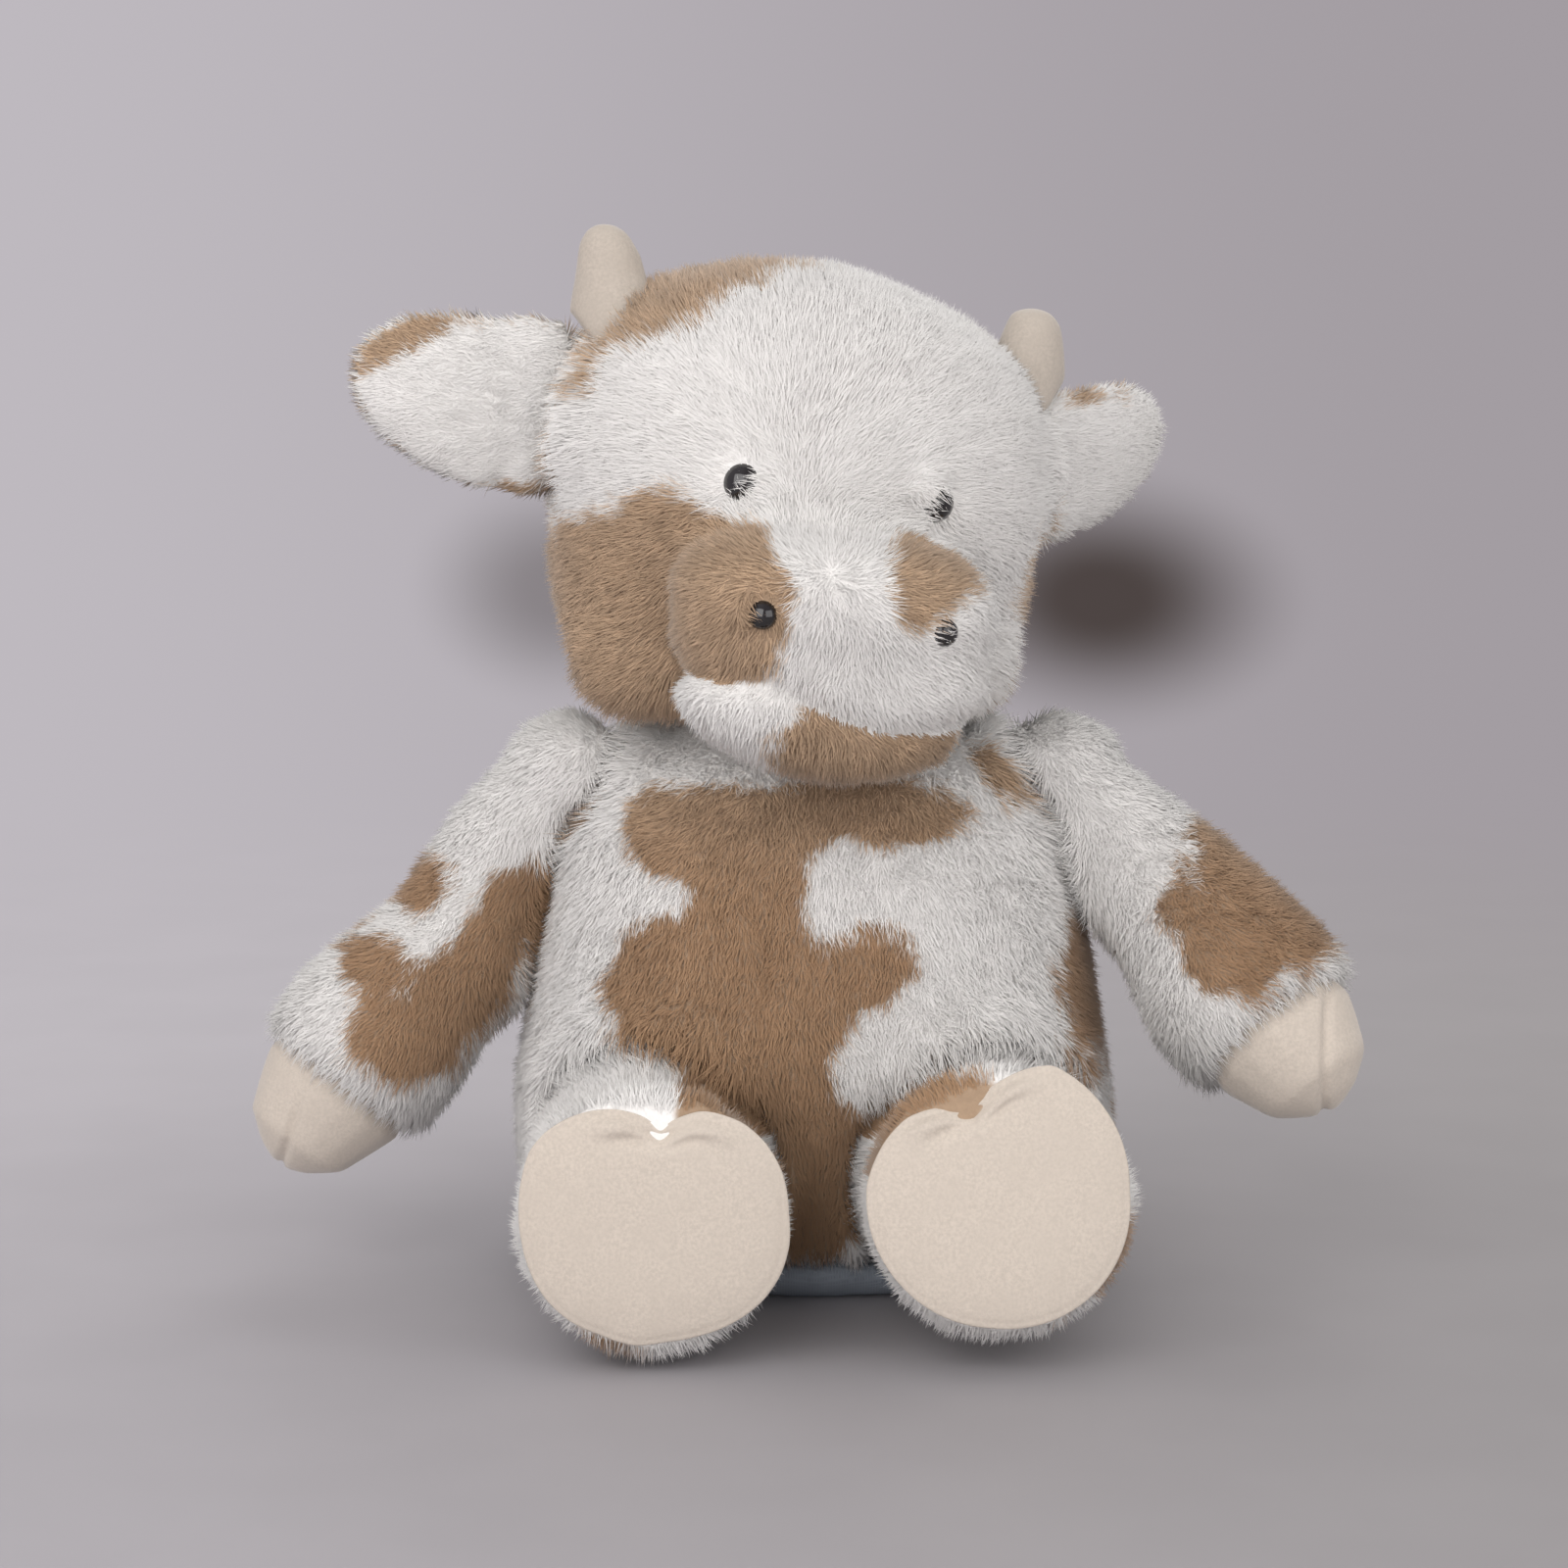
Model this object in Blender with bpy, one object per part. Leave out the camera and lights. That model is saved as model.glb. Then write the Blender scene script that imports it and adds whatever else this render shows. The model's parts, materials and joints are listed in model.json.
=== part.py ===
"""Seated plush cow, about 30 cm tall, in metres with +Z up.

The origin is the middle of the flat seat. The cow faces -Y, and its own right side is at -X.
Every fur piece is a hollow skin with its stuffing inside. The outer face of a skin is the tips of its pile.
"""

import math

import bmesh
import bpy
from mathutils import Euler, Vector

MM = 0.001

# Clearances
SEAM_GAP = 0.3 * MM
FILL_GAP = 0.6 * MM
SWING_GAP = 0.8 * MM
OVERRUN = 10 * MM
FLOOR_PRESS = 0.5 * MM
FLOOR_SPAN = 600 * MM

# Cloth
FUR_WALL = 6 * MM
POUCH_WALL = 4.5 * MM
SUEDE_WALL = 3.5 * MM
SUPER_SHARE = 2.25

# Body
BODY_HEIGHT = 168 * MM
BODY_HALF_WIDTH = 91.5 * MM
BODY_HALF_DEPTH = 74 * MM
HEM_HEIGHT = 8.5 * MM
BODY_CURL_SHARE = 0.75
BODY_FORM_SHARES = (
    (1.00, 0.00, 0.00, 0.00),
    (0.975, 0.32, 0.27, 0.02),
    (0.92, 0.60, 0.50, 0.03),
    (0.81, 0.79, 0.70, 0.02),
    (0.66, 0.86, 0.85, 0.00),
    (0.48, 0.91, 0.95, -0.02),
    (0.31, 0.97, 1.00, -0.02),
    (0.17, 1.00, 1.00, 0.00),
    (0.07, 0.97, 0.96, 0.00),
    (0.00, 0.90, 0.90, 0.00),
)

# Base panel and pellet bag
PANEL_EDGE_HEIGHT = 12 * MM
PANEL_FORM_SHARES = ((0.0, 0.84), (0.30, 0.945), (0.65, 0.99), (1.0, 1.0))
PELLET_HEIGHT = 26 * MM
PELLET_HALF_WIDTH = 56 * MM
PELLET_HALF_DEPTH = 28 * MM
PELLET_BACK = 22 * MM
PELLET_FORM_SHARES = ((0.0, 0.90), (0.25, 1.0), (0.6, 1.0), (0.9, 0.86), (1.0, 0.66))

# Head, from the neck pivot
NECK_PIVOT_HEIGHT = 222 * MM
NECK_PIVOT_SIDE = -6 * MM
NECK_PIVOT_BACK = 2 * MM
NECK_BALL_RADIUS = 66 * MM
NECK_BALL_REACH = math.radians(40)
NECK_STEPS = 4
NECK_HOLE_STEPS = 2
NECK_PLUG_THICKNESS = 8 * MM
HEAD_TOP = 70.5 * MM
HEAD_HALF_WIDTH = 73.5 * MM
HEAD_HALF_DEPTH = 66.5 * MM
HEAD_FORM_SHARES = (
    (-0.73, 0.765, 0.72, -0.03),
    (-0.62, 0.870, 0.83, -0.03),
    (-0.45, 0.935, 0.92, -0.03),
    (-0.22, 0.975, 0.98, -0.03),
    (0.00, 1.00, 1.00, -0.03),
    (0.20, 1.00, 1.00, -0.02),
    (0.42, 0.965, 0.965, 0.00),
    (0.60, 0.895, 0.89, 0.00),
    (0.76, 0.765, 0.76, 0.00),
    (0.89, 0.56, 0.56, 0.00),
    (0.97, 0.31, 0.31, 0.00),
    (1.00, 0.00, 0.00, 0.00),
)
HEAD_CURL_SHARE = 0.65
HEAD_YAW = math.radians(11.5)
HEAD_ROLL = math.radians(6.5)
HEAD_NOD = math.radians(2)

# Muzzle and chin, in the head's own frame
MUZZLE_FRONT = 104 * MM
MUZZLE_ROOT = 42 * MM
MUZZLE_HALF_WIDTH = 48.5 * MM
MUZZLE_HALF_HEIGHT = 23.5 * MM
MUZZLE_DROP = 20 * MM
MUZZLE_FORM_SHARES = (
    (0.00, 0.98, 0.98, 0.00),
    (0.35, 1.00, 1.00, 0.00),
    (0.62, 0.96, 0.94, -0.03),
    (0.82, 0.82, 0.78, -0.05),
    (0.94, 0.56, 0.53, -0.05),
    (0.985, 0.28, 0.26, -0.05),
    (1.00, 0.00, 0.00, -0.05),
)
CHIN_FRONT = 97 * MM
CHIN_HALF_WIDTH = 44 * MM
CHIN_HALF_HEIGHT = 27 * MM
CHIN_DROP = 40 * MM
CHIN_FORM_SHARES = (
    (0.00, 0.80, 0.55, 0.35),
    (0.32, 0.95, 0.84, 0.14),
    (0.60, 1.00, 1.00, 0.00),
    (0.82, 0.86, 0.88, 0.00),
    (0.94, 0.60, 0.62, 0.00),
    (0.985, 0.30, 0.32, 0.00),
    (1.00, 0.00, 0.00, 0.00),
)

# Horns
HORN_RADIUS = 10 * MM
HORN_LENGTHS = {"right": 27 * MM, "left": 21.5 * MM}
HORN_SIDES = {"right": 62 * MM, "left": 61 * MM}
HORN_BACKS = {"right": 5 * MM, "left": -2 * MM}
HORN_TIP_HEIGHTS = {"right": 72.5 * MM, "left": 62.5 * MM}
HORN_LEANS = {"right": math.radians(-6.5), "left": math.radians(-2)}
HORN_FORM_SHARES = (
    (0.00, 1.00),
    (0.45, 0.96),
    (0.75, 0.86),
    (0.92, 0.62),
    (0.985, 0.30),
    (1.00, 0.00),
)

# Ears
EAR_LENGTH = 63 * MM
EAR_HALF_WIDTHS = {"right": 27 * MM, "left": 23.5 * MM}
EAR_HALF_THICKNESS = 6.8 * MM
EAR_SIDE = 73 * MM
EAR_HEIGHTS = {"right": 19.5 * MM, "left": 16 * MM}
EAR_ROOT_SHARE = 0.75
EAR_ROOT_EDGE_SHARE = 0.45
EAR_GROOVE_SHARE = 0.98
EAR_GROOVE_FORM_SHARES = ((0.0, 1.18), (0.85, 1.08), (1.0, 0.9))
EAR_BACK = {"right": math.radians(0), "left": math.radians(38)}
EAR_RAISE = {"right": math.radians(-4), "left": math.radians(11)}
EAR_FORM_SHARES = (
    (0.00, 0.89, EAR_ROOT_EDGE_SHARE),
    (0.12, 0.95, 0.70),
    (0.26, 1.00, 0.86),
    (0.42, 0.99, 0.98),
    (0.58, 0.93, 1.00),
    (0.76, 0.78, 0.94),
    (0.90, 0.54, 0.76),
    (0.975, 0.31, 0.45),
    (1.00, 0.00, 0.00),
)

# Safety eyes and noses
EYE_RADIUS = 5.6 * MM
EYE_SIDE = 29 * MM
EYE_HEIGHT = 8 * MM
EYE_FORWARD_SHARE = 0.025
NOSTRIL_RADIUS = 4 * MM
NOSTRIL_SIDE = 26.8 * MM
NOSTRIL_RISE = -3 * MM
NOSTRIL_REACH_SHARE = 0.955
NOSTRIL_TURN_SHARE = 0.8
NOSTRIL_TILT_SHARE = 0.12
STEM_SHARE = 0.36
DOME_SHARE = 0.78
RIM_SHARE = 0.94
RIM_RISE_SHARE = 0.2
WASHER_THICKNESS = 1.2 * MM
WASHER_SLACK = 3.2 * MM

# Arms
SHOULDER_INSET = 23.5 * MM
SHOULDER_SIDE = BODY_HALF_WIDTH - SHOULDER_INSET
SHOULDER_HEIGHT = 142 * MM
SHOULDER_RADIUS = 22 * MM
ARM_HALF_WIDTH = 28.5 * MM
ARM_WRIST_SHARE = 0.77
ARM_CUFF_SHARE = 0.90
HOOF_ROOT_SHARE = 0.78
ARM_FILL_SHARE = 0.90
LIMB_HOLE = math.radians(35)
ARM_RADIUS_SHARES = (
    (0.20, 0.64),
    (0.38, 0.69),
    (0.54, 0.87),
    (0.67, 1.00),
    (0.77, 0.90),
    (0.86, 0.77),
    (0.955, 0.54),
    (1.0, 0.0),
)
ARM_ROUTES = {
    "right": (
        (24 * MM, 4 * MM, -23 * MM),
        (36 * MM, 8 * MM, -46 * MM),
        (56 * MM, 15 * MM, -70 * MM),
        (87 * MM, 22 * MM, -111 * MM),
    ),
    "left": (
        (21 * MM, 13 * MM, -21 * MM),
        (42 * MM, 30 * MM, -44 * MM),
        (60 * MM, 45 * MM, -64 * MM),
        (78 * MM, 57 * MM, -86 * MM),
    ),
}
HOOF_EDGE_SHARE = 0.80
CLEFT_START_SHARE = 0.84
CLEFT_DEPTH_SHARE = 0.16
CLEFT_WIDTH = math.radians(17)

# Legs
HIP_INSET = 45.5 * MM
HIP_SIDE = BODY_HALF_WIDTH - HIP_INSET
HIP_BEHIND_FRONT = 18 * MM
HIP_FORWARD = BODY_HALF_DEPTH - HIP_BEHIND_FRONT
HIP_HEIGHT = 38 * MM
HIP_RADIUS = 38 * MM
LEG_LENGTH = 72 * MM
FOOT_RADIUS = 38.5 * MM
LEG_TURN = math.radians(1.8)
FOOT_LIFT = {"right": 2.5 * MM, "left": 9 * MM}
LEG_ROUTE_SHARES = ((0.33, 0.16), (0.67, 0.5), (1.0, 1.0))
LEG_FILL_SHARE = 0.8
LEG_RADIUS_SHARES = ((0.301, 0.81), (0.43, 0.87), (0.60, 0.95), (0.78, 1.00), (0.92, 1.00), (0.985, 0.975))
SOLE_SHARE = 0.93
SOLE_THICKNESS = 4 * MM
SOLE_BULGE = 4 * MM
SOLE_BACK_SHARE = 0.86
SOLE_FORM_SHARES = ((0.0, 1.0), (0.5, 0.93), (0.75, 0.70), (1.0, 0.35))
NOTCH_TURN = {"right": math.radians(-12), "left": math.radians(-19)}
NOTCH_DEPTH_SHARE = 0.13
NOTCH_WIDTH = math.radians(15)

# Tail
TAIL_INSET = 4 * MM
TAIL_ROOT_BACK = BODY_HALF_DEPTH - TAIL_INSET
TAIL_ROOT_HEIGHT = 36 * MM
TAIL_BALL_RADIUS = 10 * MM
TAIL_RADIUS = 6.5 * MM
TUFT_RADIUS = 12.5 * MM
TUFT_LENGTH = 36 * MM
TAIL_ROUTE = ((0, 17 * MM, -9 * MM), (3 * MM, 31 * MM, -23 * MM), (9 * MM, 48 * MM, -25 * MM))
TAIL_STATION_SHARES = (0.28, 0.5, 0.75, 1.0)
TUFT_FORM_SHARES = ((0.00, 0.62), (0.22, 0.88), (0.48, 1.00), (0.74, 0.82), (0.92, 0.45), (1.00, 0.00))

# Facets
BODY_SIDES = 24
LIMB_SIDES = 16
STUFFING_SIDES = 16
SMALL_SIDES = 10
BODY_ROWS = 12
HEAD_ROWS = 11
LIMB_ROWS = 9
SMALL_ROWS = 6
BALL_STEPS = 4

SMOOTH_ANGLE = math.radians(50)
STEEP_SHARE = 0.2

SIDES = {"right": -1, "left": 1}

# Finishes: colour and roughness
FUR_WHITE = ((0.735, 0.705, 0.680), 0.95)
FUR_TAN = ((0.380, 0.255, 0.165), 0.95)
SUEDE_CREAM = ((0.665, 0.597, 0.515), 0.90)
PANEL_GREY = ((0.400, 0.430, 0.480), 0.80)
STUFFING_WHITE = ((0.850, 0.850, 0.840), 0.95)
GLOSS_BLACK = ((0.012, 0.011, 0.012), 0.08)
WASHER_CLEAR = ((0.700, 0.700, 0.690), 0.40)


def clear_scene():
    """Remove whatever the file holds."""
    for old in list(bpy.data.objects):
        bpy.data.objects.remove(old, do_unlink=True)


def make_material(name, finish):
    """One plain Principled material."""
    colour, roughness = finish
    material = bpy.data.materials.new(name)
    material.use_nodes = True
    shader = material.node_tree.nodes["Principled BSDF"]
    shader.inputs["Base Color"].default_value = (*colour, 1.0)
    shader.inputs["Roughness"].default_value = roughness
    shader.inputs["Metallic"].default_value = 0.0
    return material


def add_empty(name, location, rotation=(0, 0, 0), parent=None):
    """An empty on a joint, which carries the pieces that move with it."""
    empty = bpy.data.objects.new(name, None)
    empty.location = location
    empty.rotation_euler = rotation
    empty.parent = parent
    bpy.context.scene.collection.objects.link(empty)
    return empty


def add_piece(name, bm, finish, parent=None, location=(0, 0, 0), rotation=(0, 0, 0)):
    """Turn a bmesh into a named object with its own material."""
    bmesh.ops.recalc_face_normals(bm, faces=bm.faces)
    mesh = bpy.data.meshes.new(name)
    bm.to_mesh(mesh)
    bm.free()
    mesh.materials.append(make_material(name, finish))
    mesh.shade_smooth()
    mesh.set_sharp_from_angle(angle=SMOOTH_ANGLE)
    piece = bpy.data.objects.new(name, mesh)
    piece.parent = parent
    piece.location = location
    piece.rotation_euler = rotation
    bpy.context.scene.collection.objects.link(piece)
    return piece


def add_cutter(name, bm, parent=None, location=(0, 0, 0), rotation=(0, 0, 0)):
    """A shape that only cuts others."""
    cutter = add_piece(name, bm, STUFFING_WHITE, parent, location, rotation)
    cutter.hide_render = True
    cutter.display_type = "WIRE"
    return cutter


def cut(piece, *cutters):
    """Take each cutter out of a piece."""
    for cutter in cutters:
        boolean = piece.modifiers.new("cut " + cutter.name, "BOOLEAN")
        boolean.operation = "DIFFERENCE"
        boolean.solver = "EXACT"
        boolean.object = cutter


def smooth_rows(rows, count):
    """Rows of numbers on one smooth curve through the given rows."""
    last = len(rows) - 1
    made = []
    for step in range(count):
        place = last * step / (count - 1)
        index = min(int(place), last - 1)
        part = place - index
        quad = [rows[min(max(index + shift, 0), last)] for shift in (-1, 0, 1, 2)]
        row = []
        for before, start, end, after in zip(*quad):
            row.append(
                0.5 * (
                    2 * start
                    + (end - before) * part
                    + (2 * before - 5 * start + 4 * end - after) * part ** 2
                    + (3 * start - before - 3 * end + after) * part ** 3
                )
            )
        made.append(tuple(row))
    return made


def ring(centre, side, up, half_side, half_up, count, power=2.0, notch=None):
    """Points of a closed superellipse; a notch is (angle from up, depth share, width)."""
    if min(half_side, half_up) <= 0:
        return [Vector(centre)]
    points = []
    for step in range(count):
        angle = math.tau * step / count
        c = math.cos(angle)
        s = math.sin(angle)
        across = math.copysign(abs(c) ** (2 / power), c)
        along = math.copysign(abs(s) ** (2 / power), s)
        shrink = 1.0
        if notch:
            turn, depth, width = notch
            off = math.remainder(angle - math.pi / 2 + turn, math.tau)
            shrink = 1 - depth * math.exp(-(off / width) ** 2)
        offset = Vector(side) * (half_side * across) + Vector(up) * (half_up * along)
        points.append(Vector(centre) + offset * shrink)
    return points


def loft(rings, cyclic=False):
    """A closed mesh through rings of points; a ring of one point is a pole.

    Each four-sided face is split along its shorter diagonal, so that nested skins have parallel facets.
    """
    bm = bmesh.new()
    rows = [[bm.verts.new(point) for point in points] for points in rings]
    pairs = list(zip(rows, rows[1:]))
    if cyclic:
        pairs.append((rows[-1], rows[0]))
    for first, second in pairs:
        count = max(len(first), len(second))
        for index in range(count):
            after = (index + 1) % count
            corners = []
            for row, place in ((first, index), (first, after), (second, after), (second, index)):
                vert = row[place % len(row)]
                if vert not in corners:
                    corners.append(vert)
            if len(corners) == 4:
                first_span = (corners[0].co - corners[2].co).length
                second_span = (corners[1].co - corners[3].co).length
                turn = 0 if first_span <= second_span else 1
                bm.faces.new([corners[turn], corners[turn + 1], corners[turn + 2]])
                bm.faces.new([corners[turn], corners[turn + 2], corners[(turn + 3) % 4]])
            else:
                bm.faces.new(corners)
    if not cyclic:
        for row in (rows[0], rows[-1]):
            if len(row) > 2:
                bm.faces.new(row)
    return bm


def ball(radius, sides):
    """A round cutter whose flat facets stay outside the radius."""
    bm = bmesh.new()
    outside = radius / math.cos(math.pi / sides) ** 2
    bmesh.ops.create_uvsphere(bm, u_segments=sides, v_segments=sides // 2, radius=outside)
    return bm


def turned(profile, sides):
    """A profile of (radius, height) turned about Z, from the axis and back to it."""
    return loft([ring((0, 0, height), (1, 0, 0), (0, 1, 0), radius, radius, sides) for radius, height in profile])


def turned_ring(profile, sides):
    """A closed profile that never meets the axis, turned about Z."""
    rings = [ring((0, 0, height), (1, 0, 0), (0, 1, 0), radius, radius, sides) for radius, height in profile]
    return loft(rings, cyclic=True)


def body_rings(inset, sides, rows):
    """Rings of the pear-shaped body from its top pole to the hem, drawn in by the inset."""
    span = BODY_HEIGHT - HEM_HEIGHT
    rings = []
    for height, width, depth, shift in smooth_rows(BODY_FORM_SHARES, rows):
        top = HEM_HEIGHT + span * height - inset * max(height - BODY_CURL_SHARE, 0) / (1 - BODY_CURL_SHARE)
        centre = (0, BODY_HALF_DEPTH * shift, top)
        half_width = max(BODY_HALF_WIDTH * width - inset, 0)
        half_depth = max(BODY_HALF_DEPTH * depth - inset, 0)
        rings.append(ring(centre, (1, 0, 0), (0, 1, 0), half_width, half_depth, sides, SUPER_SHARE))
    while len(rings) > 1 and len(rings[1]) == 1:
        rings.pop(0)
    return rings


def clipped_rings(rings, floor):
    """Rings from the top down to a level floor, the last one on the floor."""
    kept = [points for points in rings if points[0].z > floor]
    low = rings[len(kept)]
    part = (kept[-1][0].z - floor) / (kept[-1][0].z - low[0].z)
    return kept + [[above.lerp(below, part) for above, below in zip(kept[-1], low)]]


def head_rings(inset, sides, rows, hole_steps=0):
    """Rings of the head from the edge of its neck hole, or its lowest pole, up to the crown."""
    rings = []
    low = NECK_BALL_RADIUS - inset
    for step in range(hole_steps, NECK_STEPS + 1):
        angle = NECK_BALL_REACH * step / NECK_STEPS
        radius = low * math.sin(angle)
        rings.append(ring((0, 0, -low * math.cos(angle)), (1, 0, 0), (0, 1, 0), radius, radius, sides))
    for height, width, depth, shift in smooth_rows(HEAD_FORM_SHARES, rows):
        squeeze = inset * max(min(height / HEAD_CURL_SHARE, 1), -1)
        half_width = max(HEAD_HALF_WIDTH * width - inset, 0)
        half_depth = max(HEAD_HALF_DEPTH * depth - inset, 0)
        centre = (0, HEAD_HALF_DEPTH * shift, HEAD_TOP * height - squeeze)
        rings.append(ring(centre, (1, 0, 0), (0, 1, 0), half_width, half_depth, sides, SUPER_SHARE))
    while len(rings[-2]) == 1:
        rings.pop()
    return rings


def pouch_rings(form_shares, front, half_width, half_height, drop, inset):
    """Rings of a face pouch from its root inside the head to its front pole, along -Y."""
    rings = []
    for along, width, height, shift in smooth_rows(form_shares, LIMB_ROWS):
        reach = MUZZLE_ROOT + (front - MUZZLE_ROOT - inset) * along
        half_side = max(half_width * width - inset, 0)
        half_up = max(half_height * height - inset, 0)
        centre = (0, -reach, half_height * shift - drop)
        rings.append(ring(centre, (1, 0, 0), (0, 0, 1), half_side, half_up, LIMB_SIDES, SUPER_SHARE))
    while len(rings[-2]) == 1:
        rings.pop()
    return rings


def limb_path(route, steps):
    """Places and directions along a smooth route that starts at the limb's pivot."""
    places = [Vector(row) for row in smooth_rows(((0, 0, 0),) + tuple(route), steps)]
    length = 0
    path = []
    for index, place in enumerate(places):
        if index:
            length += (place - places[index - 1]).length
        ahead = places[min(index + 1, steps - 1)] - places[max(index - 1, 0)]
        path.append((length, place, ahead.normalized()))
    return [(run / length, place, ahead) for run, place, ahead in path]


def along_path(path, share):
    """The place and direction at a share of a path's length."""
    for (low, start, first), (high, end, second) in zip(path, path[1:]):
        if share <= high or high == 1.0:
            part = (share - low) / (high - low)
            return start.lerp(end, part), first.lerp(second, part).normalized()
    return path[-1][1], path[-1][2]


def frame_across(direction):
    """Two directions square to a limb's direction: the first level, the second pointing up or forward."""
    side = direction.cross(Vector((0, 0, 1)))
    if side.length < STEEP_SHARE:
        side = direction.cross(Vector((0, -1, 0)))
    side.normalize()
    return side, side.cross(direction)


def ball_rings(direction, radius, start, end, sides):
    """Rings of a limb's round inner end, from a polar angle behind the pivot to one in front."""
    side, up = frame_across(direction)
    rings = []
    for step in range(BALL_STEPS + 1):
        angle = start + (end - start) * step / BALL_STEPS
        centre = direction * (radius * math.cos(angle))
        across = radius * math.sin(angle)
        rings.append(ring(centre, side, up, across, across, sides))
    return rings


def tube_rings(path, stations, half_width, inset, sides, notch=None, notch_from=2.0):
    """Rings along a path at stations of (share of length, share of half width)."""
    rings = []
    for share, width in stations:
        place, direction = along_path(path, share)
        side, up = frame_across(direction)
        radius = max(half_width * width - inset, 0)
        rings.append(ring(place, side, up, radius, radius, sides, 2.0, notch if share >= notch_from else None))
    return rings


def reversed_rings(rings):
    """The same rings from last to first."""
    return list(reversed(rings))


def ball_piece_rings(path, radius, half_width, inset, hole, stations, sides):
    """A limb from the hole in its round inner end out along its path."""
    direction = path[0][2]
    joined = math.asin(min((half_width * stations[0][1]) / radius, 1.0))
    inner = radius - inset
    start = math.asin(min(radius * math.sin(hole) / inner, 1.0))
    rings = ball_rings(direction, inner, math.pi - start, joined, sides)
    return rings + tube_rings(path, stations, half_width, inset, sides)


def make_body(seats, hips):
    """The body's skin, stuffing, pellet bag and base panel."""
    outer = body_rings(0, BODY_SIDES, BODY_ROWS)
    inner = body_rings(FUR_WALL, BODY_SIDES, BODY_ROWS)
    skin = add_piece("body_skin", loft(outer + reversed_rings(inner)), FUR_WHITE)

    panel_width = BODY_HALF_WIDTH * BODY_FORM_SHARES[-1][1] - FUR_WALL - SEAM_GAP
    panel_depth = BODY_HALF_DEPTH * BODY_FORM_SHARES[-1][2] - FUR_WALL - SEAM_GAP
    panel_rings = []
    for height, width in PANEL_FORM_SHARES:
        centre = (0, 0, PANEL_EDGE_HEIGHT * height)
        panel_rings.append(
            ring(centre, (1, 0, 0), (0, 1, 0), panel_width * width, panel_depth * width, BODY_SIDES, SUPER_SHARE)
        )
    panel = add_piece("base_panel", loft(panel_rings), PANEL_GREY)

    floor = PANEL_EDGE_HEIGHT + SEAM_GAP
    stuffing = clipped_rings(body_rings(FUR_WALL + FILL_GAP, BODY_SIDES, BODY_ROWS), floor)
    body_stuffing = add_piece("body_stuffing", loft(stuffing), STUFFING_WHITE)

    for name, grow in (("pellet_bag", 0), ("pellet_pocket", SEAM_GAP)):
        rings = []
        for height, width in PELLET_FORM_SHARES:
            reach = PELLET_HEIGHT * height + (grow if height > 0 else -OVERRUN * grow / SEAM_GAP)
            half_width = PELLET_HALF_WIDTH * width + grow
            half_depth = PELLET_HALF_DEPTH * width + grow
            centre = (0, PELLET_BACK, floor + reach)
            rings.append(ring(centre, (1, 0, 0), (0, 1, 0), half_width, half_depth, STUFFING_SIDES))
        if grow:
            cut(body_stuffing, add_cutter(name, loft(rings)))
        else:
            add_piece(name, loft(rings), STUFFING_WHITE)
    for piece in (skin, body_stuffing):
        cut(piece, *seats, *hips)
    cut(panel, *hips)


def make_neck(pivot):
    """The neck's plug of stuffing, and the cutters that seat it and the head in the body."""
    inner = NECK_BALL_RADIUS + SWING_GAP
    outer = inner + NECK_PLUG_THICKNESS
    plug = []
    pocket = []
    for step in range(NECK_HOLE_STEPS + 1):
        angle = NECK_BALL_REACH * step / NECK_STEPS
        plug.append((inner * math.sin(angle), -inner * math.cos(angle)))
        deep = outer + SEAM_GAP
        pocket.append(((deep + SEAM_GAP) * math.sin(angle) + SEAM_GAP * (step > 0), -deep * math.cos(angle)))
    plug += [(radius * outer / inner, height * outer / inner) for radius, height in reversed(plug)]
    rim = NECK_BALL_RADIUS / 2
    pocket += [(pocket[-1][0], -rim), (0, -rim)]
    add_piece("neck_stuffing", turned(plug, STUFFING_SIDES), STUFFING_WHITE, pivot)
    cup = add_cutter("neck_cup", ball(inner, BODY_SIDES), location=pivot.location)
    seat = add_cutter("neck_seat", turned(pocket, STUFFING_SIDES), location=pivot.location)
    return cup, seat


def make_button(name, head, place, outward, radius, wall, skin, stuffing):
    """A safety eye or nose on its stem, its lock washer behind the skin, and the room for both."""
    rotation = Vector(outward).to_track_quat("Z", "Y").to_euler()
    seat = -wall / 2
    stem = radius * STEM_SHARE
    inside = -(wall + WASHER_SLACK + 2 * WASHER_THICKNESS)
    dome = radius * DOME_SHARE
    profile = [(0, inside), (stem, inside), (stem, seat), (radius * RIM_SHARE, seat)]
    profile.append((radius, seat + dome * RIM_RISE_SHARE))
    for step in range(1, BALL_STEPS + 1):
        angle = math.pi / 2 * step / BALL_STEPS
        rise = seat + dome * (RIM_RISE_SHARE + (1 - RIM_RISE_SHARE) * math.sin(angle))
        profile.append((max(radius * math.cos(angle), 0) if step < BALL_STEPS else 0, rise))
    add_piece(name, turned(profile, SMALL_SIDES), GLOSS_BLACK, head, place, rotation)

    low = -(wall + WASHER_SLACK + WASHER_THICKNESS)
    high = low + WASHER_THICKNESS
    hole = stem + SEAM_GAP
    washer = [(hole, low), (radius, low), (radius, high), (hole, high)]
    add_piece(name + "_washer", turned_ring(washer, SMALL_SIDES), WASHER_CLEAR, head, place, rotation)

    socket = [(0, -2 * wall), (hole, -2 * wall), (hole, seat - SEAM_GAP), (radius + SEAM_GAP, seat - SEAM_GAP)]
    socket += [(radius + SEAM_GAP, OVERRUN), (0, OVERRUN)]
    cut(skin, add_cutter(name + "_socket", turned(socket, SMALL_SIDES), head, place, rotation))
    wide = radius + SEAM_GAP
    bottom = inside - SEAM_GAP
    room = [(0, bottom), (wide, bottom), (wide, OVERRUN), (0, OVERRUN)]
    cut(stuffing, add_cutter(name + "_room", turned(room, SMALL_SIDES), head, place, rotation))


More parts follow.
